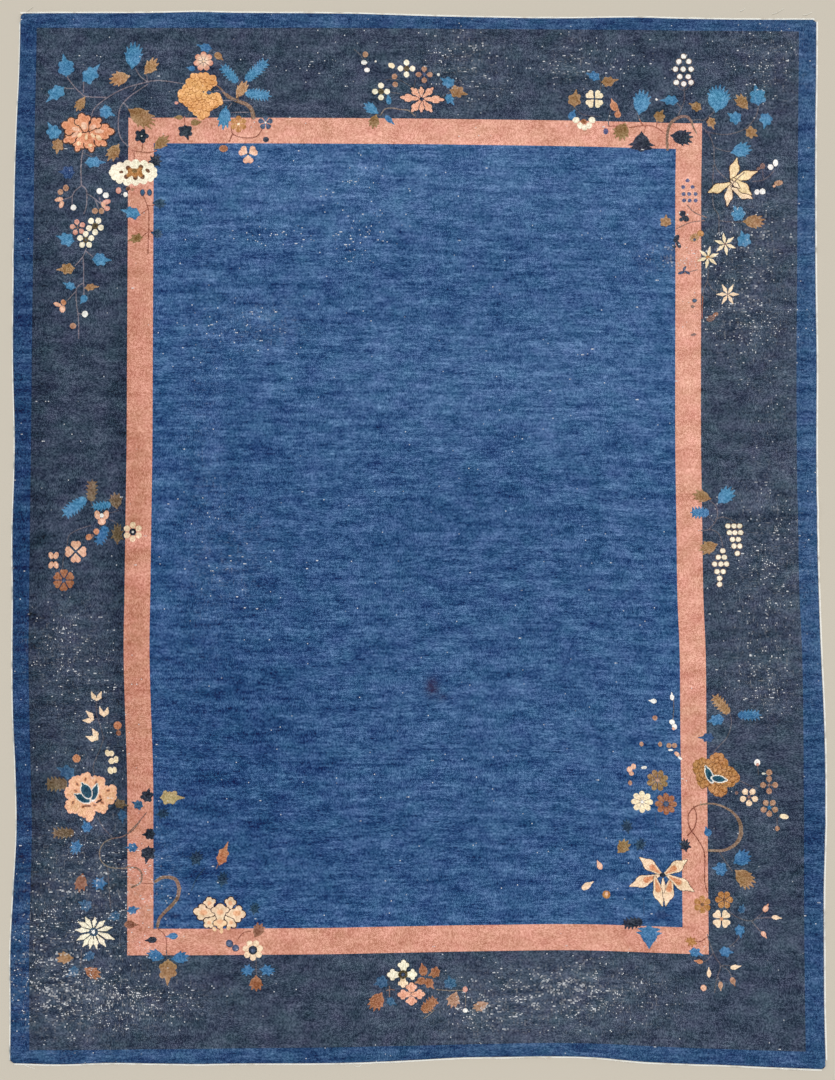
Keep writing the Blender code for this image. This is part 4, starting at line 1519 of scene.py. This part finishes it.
# Bare and thin places: how many knots are gone, and how far the pile is thinned
CLUSTERS = (12, 8, 2.0)
CLUSTER_START, CLUSTER_RISE = 0.44, 5.0
BARE_IN_WEAR, BARE_IN_SCATTERS, BARE_ANYWHERE = 0.30, 0.022, 0.0005
BARE_ROWS = 0.45
SECOND_DRAW = (311.0, 97.0, 0.0)
ROW_LENGTHS = (0.4, 1.0, 1.0)
THREADS_ACROSS, THREADS_ALONG = (0.8, 11, 1.0), (9, 0.8, 1.0)
THREADS_START, THREADS_RISE = 0.60, 6.0
THIN_IN_CLUSTERS, THIN_BY_THREADS = 0.08, 1.1
DULLEST_SPECK = 0.15
STAIN_EDGE = (5, 4, 2.0)
STAIN_STRENGTH = 1.5

# Tufts: noise of the fibres (scale, detail, roughness), then what raises or lowers a knot
FIBRE_NOISE = (1400.0, 2.0, 0.7)
FIBRE_RELIEF, KNOT_RELIEF, SPECK_RELIEF = 0.8, 0.8, 1.5
TUFT_BUMP, TUFT_HEIGHT = 0.5, 0.0006


def build_wool_group():
    """Dyed wool by the knot: streaks along the rows, mottling, broad tone patches with painted crease shade
    and light, specks of cotton, and tufts.
    """
    tree = bpy.data.node_groups.new("dyed_wool_and_painted_shade", "ShaderNodeTree")
    for name, way, kind in (
        ("Dye", "INPUT", "Color"), ("Streaks", "INPUT", "Float"), ("Specks", "INPUT", "Float"),
        ("Colour", "OUTPUT", "Color"), ("Normal", "OUTPUT", "Vector"),
    ):
        tree.interface.new_socket(name, in_out=way, socket_type="NodeSocket" + kind)
    given = tree.nodes.new("NodeGroupInput").outputs
    result = tree.nodes.new("NodeGroupOutput").inputs

    def times(first, second, clamp=False):
        """The product of two values."""
        return math_node(tree, "MULTIPLY", first, second, clamp=clamp)

    def plus(first, second, clamp=False):
        """The sum of two values."""
        return math_node(tree, "ADD", first, second, clamp=clamp)

    def less(first, second):
        """The first value less the second."""
        return math_node(tree, "SUBTRACT", first, second)

    def draw(place):
        """A random value for each whole place."""
        return add_node(tree, "TexWhiteNoise", {"Vector": place}, noise_dimensions="3D").outputs["Value"]

    def spread_noise(across, along, detail):
        """Noise from 0 to 1, stretched over so many knots."""
        place = vector_node(tree, "MULTIPLY", cell, (1 / across, 1 / along, 0.0))
        return noise(tree, place, 1.0, detail, NOISE_ROUGHNESS)

    def drifting(across, along, detail, amount):
        """The same noise around zero."""
        return times(less(spread_noise(across, along, detail), 0.5), amount)

    weave = attribute(tree, "weave", "Vector")
    wear = attribute(tree, "wear")
    knots = vector_node(tree, "MULTIPLY", weave, (1 / KNOT, 1 / KNOT, 0.0))
    cell = vector_node(tree, "FLOOR", knots)
    each = draw(cell)

    streaks = plus(drifting(*STREAKS[0]), drifting(*STREAKS[1]))
    lift = times(streaks, given["Streaks"])
    for mottle in MOTTLES:
        lift = plus(lift, drifting(*mottle))
    # Broad tone patches, with the painted shade and light of the creases
    lift = plus(lift, times(attribute(tree, "tone_and_crease_shade"), TONE_AND_CREASE_SHADE_SHARE))
    lift = plus(lift, times(less(each, 0.5), KNOT_SHARE))
    hue = drifting(*HUES)
    shifts = [plus(times(hue, share), lift) for share in HUE_SHARES]
    shift = add_node(tree, "CombineXYZ", enumerate(shifts)).outputs[0]
    even = add_node(tree, "Gamma", {"Color": given["Dye"], "Gamma": 1 / SCREEN_GAMMA}).outputs[0]
    uneven = vector_node(tree, "MAXIMUM", vector_node(tree, "ADD", even, shift), DARKEST_DYE)
    dyed_and_shaded = add_node(tree, "Gamma", {"Color": uneven, "Gamma": SCREEN_GAMMA}).outputs[0]

    cluster = times(less(spread_noise(*CLUSTERS), CLUSTER_START), CLUSTER_RISE, clamp=True)
    bare = plus(times(times(times(wear, wear), cluster), BARE_IN_WEAR), BARE_ANYWHERE)
    bare = plus(times(attribute(tree, "scatter"), BARE_IN_SCATTERS), bare)
    bare = times(bare, given["Specks"])
    moved = vector_node(tree, "ADD", cell, SECOND_DRAW)
    dashes = vector_node(tree, "FLOOR", vector_node(tree, "MULTIPLY", moved, ROW_LENGTHS))
    knots_gone = math_node(tree, "GREATER_THAN", bare, draw(moved))
    rows_gone = math_node(tree, "GREATER_THAN", times(bare, BARE_ROWS), draw(dashes))
    gone = math_node(tree, "MAXIMUM", knots_gone, rows_gone)
    speck = times(gone, plus(times(each, 1 - DULLEST_SPECK), DULLEST_SPECK), clamp=True)

    threads = math_node(tree, "MAXIMUM", spread_noise(*THREADS_ACROSS), spread_noise(*THREADS_ALONG))
    threads = times(less(threads, THREADS_START), THREADS_RISE, clamp=True)
    threads = times(times(threads, times(wear, each)), given["Specks"])
    thin = times(times(wear, cluster), THIN_IN_CLUSTERS)
    thin = plus(thin, times(threads, THIN_BY_THREADS), clamp=True)
    soaked = times(attribute(tree, "stain"), spread_noise(*STAIN_EDGE))
    soaked = times(soaked, STAIN_STRENGTH, clamp=True)
    stained = mix_colours(tree, soaked, dyed_and_shaded, linear(STAIN_RED))
    thinned = mix_colours(tree, thin, stained, linear(THINNED_PILE))
    coloured = mix_colours(tree, speck, thinned, linear(EXPOSED_COTTON))
    tree.links.new(coloured, result["Colour"])

    inside = vector_node(tree, "SUBTRACT", knots, cell)
    parts = add_node(tree, "SeparateXYZ", {0: inside}).outputs
    mounds = []
    for part in (parts[0], parts[1]):
        off = times(less(part, 0.5), 2.0)
        mounds.append(less(1.0, times(off, off)))
    fibre = noise(tree, weave, *FIBRE_NOISE)
    height = plus(times(mounds[0], mounds[1]), times(fibre, FIBRE_RELIEF))
    height = less(plus(height, times(each, KNOT_RELIEF)), times(speck, SPECK_RELIEF))
    bump = add_node(tree, "Bump", {"Height": height, "Strength": TUFT_BUMP, "Distance": TUFT_HEIGHT})
    tree.links.new(bump.outputs["Normal"], result["Normal"])
    return tree


# How dull each material is: roughness and sheen, then what all share
WOOL_SHINE = (0.92, 0.05)
YARN_SHINE = (0.9, 0.1)
FLOOR_SHINE = (0.8, 0.0)
SHEEN_ROUGHNESS = 0.6
SPECULAR_LEVEL = 0.15


def new_material(name, roughness, sheen):
    """A material with constant shader values, its tree and its shader."""
    material = bpy.data.materials.new(name)
    material.use_nodes = True
    tree = material.node_tree
    shader = tree.nodes["Principled BSDF"]
    shader.inputs["Roughness"].default_value = roughness
    shader.inputs["Sheen Weight"].default_value = sheen
    shader.inputs["Sheen Roughness"].default_value = SHEEN_ROUGHNESS
    shader.inputs["Specular IOR Level"].default_value = SPECULAR_LEVEL
    return material, tree, shader


def use_wool(tree, shader, wool, dye, streaks, specks):
    """Feed a shader from the wool group."""
    group = tree.nodes.new("ShaderNodeGroup")
    group.node_tree = wool
    for name, value in (("Dye", dye), ("Streaks", streaks), ("Specks", specks)):
        feed(tree, group.inputs[name], value)
    tree.links.new(group.outputs["Colour"], shader.inputs["Base Color"])
    tree.links.new(group.outputs["Normal"], shader.inputs["Normal"])


# Zones inside the guard: half width, half length, colour, and how much the rows streak
GUARD_STREAKS = 0.60
ZONES = (
    (GUARD_U, GUARD_V, BORDER_NAVY, 0.35),
    (BAND_U + BAND_HALF_WIDTH, BAND_V + BAND_HALF_WIDTH, BAND_CORAL, 0.15),
    (BAND_U - BAND_HALF_WIDTH, BAND_V - BAND_HALF_WIDTH, FIELD_BLUE, 0.75),
)


def make_ground_material(wool):
    """The rug's plain zones: guard, border, band and field, in whole knots."""
    material, tree, shader = new_material("wool_ground", *WOOL_SHINE)
    weave = attribute(tree, "weave", "Vector")
    cell = vector_node(tree, "FLOOR", vector_node(tree, "MULTIPLY", weave, (1 / KNOT, 1 / KNOT, 0)))
    middle = vector_node(tree, "MULTIPLY", vector_node(tree, "ADD", cell, (0.5, 0.5, 0)), (KNOT, KNOT, 0))
    parts = add_node(tree, "SeparateXYZ", {0: vector_node(tree, "ABSOLUTE", middle)}).outputs

    def within(limit_u, limit_v):
        """1 inside a rectangle of the weave."""
        u = math_node(tree, "LESS_THAN", parts[0], limit_u)
        v = math_node(tree, "LESS_THAN", parts[1], limit_v)
        return math_node(tree, "MULTIPLY", u, v)

    dye, streaks = linear(GUARD_BLUE), GUARD_STREAKS
    for limit_u, limit_v, colour, amount in ZONES:
        zone = within(limit_u, limit_v)
        dye = mix_colours(tree, zone, dye, linear(colour))
        rise = add_node(tree, "MapRange", {0: zone, 3: 0.0, 4: amount}).outputs[0]
        kept = math_node(tree, "MULTIPLY", math_node(tree, "SUBTRACT", 1.0, zone), streaks)
        streaks = math_node(tree, "ADD", kept, rise)
    use_wool(tree, shader, wool, dye, streaks, 1.0)
    return material


# In the sprays the rows streak less, and fewer knots are bare
SPRAY_STREAKS, SPRAY_SPECKS = 0.10, 0.8


def make_spray_material(wool):
    """Coloured knots of the sprays, each face with its own dye, the walls' faces darker with painted shade.
    """
    material, tree, shader = new_material("wool_sprays", *WOOL_SHINE)
    use_wool(tree, shader, wool, attribute(tree, "dye", "Color"), SPRAY_STREAKS, SPRAY_SPECKS)
    return material


def build_stage():
    """A plain pale floor, soft light and the camera over the rug."""
    mesh = bpy.data.meshes.new("floor")
    half = FLOOR_HALF
    corners = [(-half, -half, 0), (half, -half, 0), (half, half, 0), (-half, half, 0)]
    mesh.from_pydata(corners, [], [(0, 1, 2, 3)])
    material, _, shader = new_material("floor", *FLOOR_SHINE)
    shader.inputs["Base Color"].default_value = linear(FLOOR_COLOUR)
    floor = make_object("floor", mesh, material)
    floor.location.z = -FLOOR_DROP

    world = bpy.data.worlds.new("room")
    world.use_nodes = True
    background = world.node_tree.nodes["Background"]
    background.inputs["Color"].default_value = (1.0, 1.0, 1.0, 1.0)
    background.inputs["Strength"].default_value = ROOM_LIGHT
    bpy.context.scene.world = world
    sun = bpy.data.lights.new("soft_key", "SUN")
    sun.energy = KEY_LIGHT
    sun.angle = KEY_SPREAD
    lamp = bpy.data.objects.new("soft_key", sun)
    lamp.rotation_euler = KEY_TURN
    bpy.context.collection.objects.link(lamp)

    data = bpy.data.cameras.new("camera")
    data.lens = LENS
    data.sensor_width = SENSOR
    data.clip_end = 100
    camera = bpy.data.objects.new("camera", data)
    camera.location = (
        0.0,
        AIM_Y - CAMERA_DISTANCE * math.sin(CAMERA_TILT),
        THICKNESS + CAMERA_DISTANCE * math.cos(CAMERA_TILT),
    )
    camera.rotation_euler = (CAMERA_TILT, 0, 0)
    bpy.context.collection.objects.link(camera)
    bpy.context.scene.camera = camera
    bpy.context.scene.view_settings.view_transform = "Standard"


# Sprays: the charted cells as raised knots, with their outer corners cut and painted shade on their walls
SPRAY_RISE = 0.0004
SPRAY_DEPTH = 0.0014
WALL_SHADE = 0.7
CORNER_STEPS = (          # corner of the cell, then its two neighbours' column and row offsets
    ((0, 0), (-1, 0), (0, -1)),
    ((3, 0), (0, -1), (1, 0)),
    ((3, 3), (1, 0), (0, 1)),
    ((0, 3), (0, 1), (-1, 0)),
)


def build_spray(number, name, material):
    """One spray, a little proud of the pile."""
    mine = chart.spray == number
    found_j, found_i = np.nonzero(mine)
    places, faces, tones = {}, [], []

    def vertex(key):
        """The number of the vertex at a third of a cell across and along, on top or below."""
        return places.setdefault(key, len(places))

    for j, i in zip(found_j.tolist(), found_i.tolist()):
        outline = []
        for (di, dj), before, after in CORNER_STEPS:
            open_before = not mine[j + before[1], i + before[0]]
            open_after = not mine[j + after[1], i + after[0]]
            corner = (3 * i + di, 3 * j + dj)
            if open_before and open_after:
                outline.append((corner[0] - after[0], corner[1] - after[1]))
                outline.append((corner[0] - before[0], corner[1] - before[1]))
            else:
                outline.append(corner)
        faces.append([vertex((a, b, 0)) for a, b in outline])
        tones.append(chart.dye[j, i])
        for start, end in zip(outline, outline[1:] + outline[:1]):
            joined = False
            if start[0] == end[0]:
                joined = mine[j, i + 1 if start[0] > 3 * i else i - 1]
            elif start[1] == end[1]:
                joined = mine[j + 1 if start[1] > 3 * j else j - 1, i]
            if not joined:
                wall = ((*start, 0), (*start, 1), (*end, 1), (*end, 0))
                faces.append([vertex(key) for key in wall])
                # Walls take the dye darkened by painted shade
                tones.append(chart.dye[j, i] * WALL_SHADE)

    keys = np.array(list(places))
    u = (keys[:, 0] / 3 - HALF_ACROSS) * CELL
    v = (keys[:, 1] / 3 - HALF_ALONG) * CELL
    x, y = loom_to_floor(u, v)
    z = pile_top(x, y, u, v) + np.where(keys[:, 2] == 1, SPRAY_RISE - SPRAY_DEPTH, SPRAY_RISE)
    mesh = bpy.data.meshes.new(name)
    mesh.from_pydata(np.stack([x, y, z], 1).tolist(), [], faces)
    add_loom_values(mesh, u, v)
    # These face colours hold each knot's dye, and on the walls painted shade
    layer = mesh.attributes.new("dye", "FLOAT_COLOR", "FACE")
    colours = np.c_[np.array(tones), np.ones(len(tones))]
    layer.data.foreach_set("color", colours.astype(np.float32).ravel())
    mesh.shade_flat()
    return make_object(name, mesh, material)


def build_tubes(name, material, paths, sides):
    """Tubes along paths of (x, y, z, radius), each closed at both ends."""
    points, faces, along = [], [], []
    for path in paths:
        path = np.array(path)
        run = np.gradient(path[:, :3], axis=0)
        run /= np.linalg.norm(run, axis=1)[:, None] + 1e-12
        side = np.cross(run, (0.0, 0.0, 1.0))
        side /= np.linalg.norm(side, axis=1)[:, None] + 1e-12
        lift = np.cross(side, run)
        first = sum(len(block) for block in points)
        for k in range(sides):
            turn = math.tau * (k + 0.5) / sides
            offset = side * math.cos(turn) + lift * math.sin(turn)
            points.append(path[:, :3] + offset * path[:, 3:4])
            along.append(np.arange(len(path)))
        count = len(path)
        for k in range(sides):
            near, far = first + k * count, first + (k + 1) % sides * count
            faces += [(near + i, near + i + 1, far + i + 1, far + i) for i in range(count - 1)]
        faces.append([first + k * count for k in range(sides)])
        faces.append([first + k * count + count - 1 for k in reversed(range(sides))])
    mesh = bpy.data.meshes.new(name)
    mesh.from_pydata(np.concatenate(points).tolist(), [], faces)
    mesh.shade_smooth()
    return make_object(name, mesh, material)


# Overcast cords along the sides: name, node, side, radius with the yarn's fuzz
CORDS = (
    ("left_overcast_edge", "side_cord_left", "left", 0.0024),
    ("right_overcast_edge", "side_cord_right", "right", 0.0034),
)
CORD_SHORTFALL = 0.018
WRAP_PITCH = 0.0052
WRAP_PROFILE = (0.84, 1.05, 1.03)
WRAP_SIZES = (0.90, 1.08)
CORD_FACETS = 9


def build_cord(name, node, side, radius, material):
    """Wraps of yarn round the edge cords, one ring after another."""
    chance = random.Random(SEED + len(name))
    wraps = int((PILE_LENGTH - 2 * CORD_SHORTFALL) / WRAP_PITCH)
    path = []
    sign = -1 if side == "left" else 1
    for k in range(wraps):
        size = chance.uniform(*WRAP_SIZES)
        for step, share in enumerate(WRAP_PROFILE):
            y = -PILE_LENGTH / 2 + CORD_SHORTFALL + (k + step / len(WRAP_PROFILE)) * WRAP_PITCH
            x = side_x(side, y) + sign * (radius + GAP)
            lift = float(ripple_height(x, y))
            path.append((float(x), y, radius + lift, radius * share * size))
    cord = build_tubes(name, material, [path], CORD_FACETS)
    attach(cord, "root")
    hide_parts(node)
    return cord


# Worn ends: name, node, end, width of the woven strip, longest thread
ENDS = (
    ("top_end_weave", "end_web_top", "top", 0.0068, 0.0110),
    ("bottom_end_weave", "end_web_bottom", "bottom", 0.0076, 0.0120),
)
END_INSET = 0.006
STRIP_RIDGES = 5
STRIP_POINTS = 421
STRIP_TUCK = 0.0012
STRIP_HEIGHT = 0.0034
RIDGE_RADIUS = 0.0010
RIDGE_WAVES = ((0.0003, 900, 2.1), (0.0004, 37, 1))        # size, rate along x, shift by ridge
RIDGE_LEVEL, RIDGE_FALL = 0.62, 0.06                       # of the strip's height, by ridge
THREAD_PITCH = 0.0034
THREAD_PLACES = (0.2, 0.8)                                 # of the pitch
THREAD_RADIUS = 0.00075
THREAD_STEPS = ((0.0, 1.0), (0.55, 0.75), (1.0, 0.42))     # share of the reach, and of the height
THREAD_ROOT, THREAD_TAPER, THREAD_REST = 1.05, 0.45, 0.9   # of the radius
THREAD_TUCK = 0.0008
THREAD_LEAN = 0.35
THREAD_HEIGHT, HEIGHT_SPREAD = 0.0016, 0.0012
SHORTEST_SHARE = 0.6                                       # of the strip's width
FRAY_SHARES = (0.35, 1.0)                                  # of what the place allows
SLOW_FRAY, QUICK_FRAY = (9.0, 1.3), (23.0, 0.7)            # rate along x, and shift
THREAD_FACETS = 5


def build_end(name, node, end, width, longest, material):
    """The woven strip at one end and the warp ends that stick out of it."""
    chance = random.Random(SEED + len(name) * 3)
    sign = 1 if end == "top" else -1
    half = PILE_WIDTH / 2 - END_INSET
    paths = []
    for ridge in range(STRIP_RIDGES):
        out = width * (ridge + 0.5) / STRIP_RIDGES - STRIP_TUCK
        path = []
        for x in np.linspace(-half, half, STRIP_POINTS):
            wave = sum(size * math.sin(x * rate + ridge * shift) for size, rate, shift in RIDGE_WAVES)
            y = float(end_y(end, x)) + sign * (out + wave)
            z = float(ripple_height(x, y)) + STRIP_HEIGHT * (RIDGE_LEVEL - RIDGE_FALL * ridge)
            path.append((x, y, z, RIDGE_RADIUS))
        paths.append(path)
    count = int(2 * half / THREAD_PITCH)
    for k in range(count):
        x = -half + (k + chance.uniform(*THREAD_PLACES)) * THREAD_PITCH
        slow = math.sin(x * SLOW_FRAY[0] + SLOW_FRAY[1] * sign)
        patch = 0.5 + 0.5 * slow * math.sin(x * QUICK_FRAY[0] + QUICK_FRAY[1])
        least = width * SHORTEST_SHARE
        reach = least + (longest - least) * (0.25 + 0.75 * patch) * chance.uniform(*FRAY_SHARES)
        lean = chance.uniform(-THREAD_LEAN, THREAD_LEAN)
        start = float(end_y(end, x)) - sign * THREAD_TUCK
        height = THREAD_HEIGHT + HEIGHT_SPREAD * chance.random()
        path = []
        for share, drop in THREAD_STEPS:
            y = start + sign * reach * share
            z = float(ripple_height(x, y)) + max(height * drop, THREAD_RADIUS * THREAD_REST)
            radius = THREAD_RADIUS * (THREAD_ROOT - THREAD_TAPER * share)
            path.append((x + lean * reach * share**2, y, z, radius))
        paths.append(path)
    strip = build_tubes(name, material, paths, THREAD_FACETS)
    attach(strip, "root")
    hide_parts(node)
    return strip


# Loose threads at the top, then at the bottom: places in the photo along each
THREADS = (
    ((26, 9.8), (29, 7.6), (32, 5.6)),
    ((740, 10), (743, 8.6), (745, 7)),
    ((772, 13), (778, 10.8), (784, 7)),
    ((803, 14), (808, 13), (812, 10.8)),
    ((806, 17), (811, 17.5), (815, 21.5)),
    ((351, 1061), (354, 1066), (359, 1066.5), (363, 1061)),
    ((369.5, 1059.5), (371, 1063), (369, 1064.5)),
    ((543, 1054), (545, 1059), (549, 1060)),
    ((552, 1052), (553, 1057.5), (556, 1058)),
    ((24, 1065.5), (29, 1067.5), (34, 1068.7)),
)
LOOSE_RADIUS = 0.0008
LOOSE_HEIGHTS = (0.0028, 0.0012)


def build_loose_threads(material):
    """A few long warp ends that stray over the floor."""
    first, final = LOOSE_HEIGHTS
    paths = []
    for route in THREADS:
        points = [tuple(float(value) for value in photo_to_floor(px, py)) for px, py in route]
        smooth = smooth_route(points)
        last = len(smooth) - 1
        paths.append([
            (x, y, final + (first - final) * (1 - k / last), LOOSE_RADIUS)
            for k, (x, y) in enumerate(smooth)
        ])
    threads = build_tubes("stray_threads", material, paths, THREAD_FACETS)
    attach(threads, "root")
    return threads


# Yarns: name, clean colour, soiled colour, and how fine the fibres are in x, y and z
LEFT_YARN = ("left_edge_yarn", (252, 252, 246), (150, 160, 164), (900, 260, 900))
RIGHT_YARN = ("right_edge_yarn", (255, 253, 246), (186, 180, 170), (900, 260, 900))
END_COTTON = ("end_cotton", (255, 254, 246), (214, 206, 190), (420, 1500, 900))

# Their soil and grain: noise (scale, detail, roughness), where it starts and how it rises
SOIL_NOISE, SOIL_START, SOIL_RISE = (20.0, 3.0, 0.6), 0.50, 4.5
GRAIN_NOISE, GRAIN_START, GRAIN_RISE = (1.0, 2.0, 0.6), 0.42, 2.6
GRAIN_SHARE = 0.30
YARN_BUMP, FIBRE_HEIGHT = 0.4, 0.0004


def make_yarn_material(name, colour, dark, scale):
    """Undyed yarn, soiled unevenly, with fine fibres."""
    material, tree, shader = new_material(name, *YARN_SHINE)
    place = add_node(tree, "TexCoord").outputs["Object"]
    soil = noise(tree, place, *SOIL_NOISE)
    fibre = noise(tree, vector_node(tree, "MULTIPLY", place, scale), *GRAIN_NOISE)
    share = math_node(tree, "SUBTRACT", soil, SOIL_START)
    share = math_node(tree, "MULTIPLY", share, SOIL_RISE, clamp=True)
    base = mix_colours(tree, share, linear(colour), linear(dark))
    grain = math_node(tree, "SUBTRACT", fibre, GRAIN_START)
    grain = math_node(tree, "MULTIPLY", grain, GRAIN_RISE, clamp=True)
    grain = math_node(tree, "MULTIPLY", grain, GRAIN_SHARE)
    base = mix_colours(tree, grain, base, linear(dark))
    tree.links.new(base, shader.inputs["Base Color"])
    bump = add_node(tree, "Bump", {"Height": fibre, "Strength": YARN_BUMP, "Distance": FIBRE_HEIGHT})
    tree.links.new(bump.outputs["Normal"], shader.inputs["Normal"])
    return material


wool = build_wool_group()
pile = build_pile(make_ground_material(wool))
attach(pile, "root")
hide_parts("rug_body")

knot_sprays()
spray_material = make_spray_material(wool)
for number, (name, _) in enumerate(SPRAYS, start=1):
    spray = build_spray(number, name, spray_material)
    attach(spray, "root")

for (name, node, side, radius), yarn in zip(CORDS, (LEFT_YARN, RIGHT_YARN)):
    build_cord(name, node, side, radius, make_yarn_material(*yarn))
cotton = make_yarn_material(*END_COTTON)
for name, node, end, width, longest in ENDS:
    build_end(name, node, end, width, longest, cotton)
build_loose_threads(cotton)
build_stage()
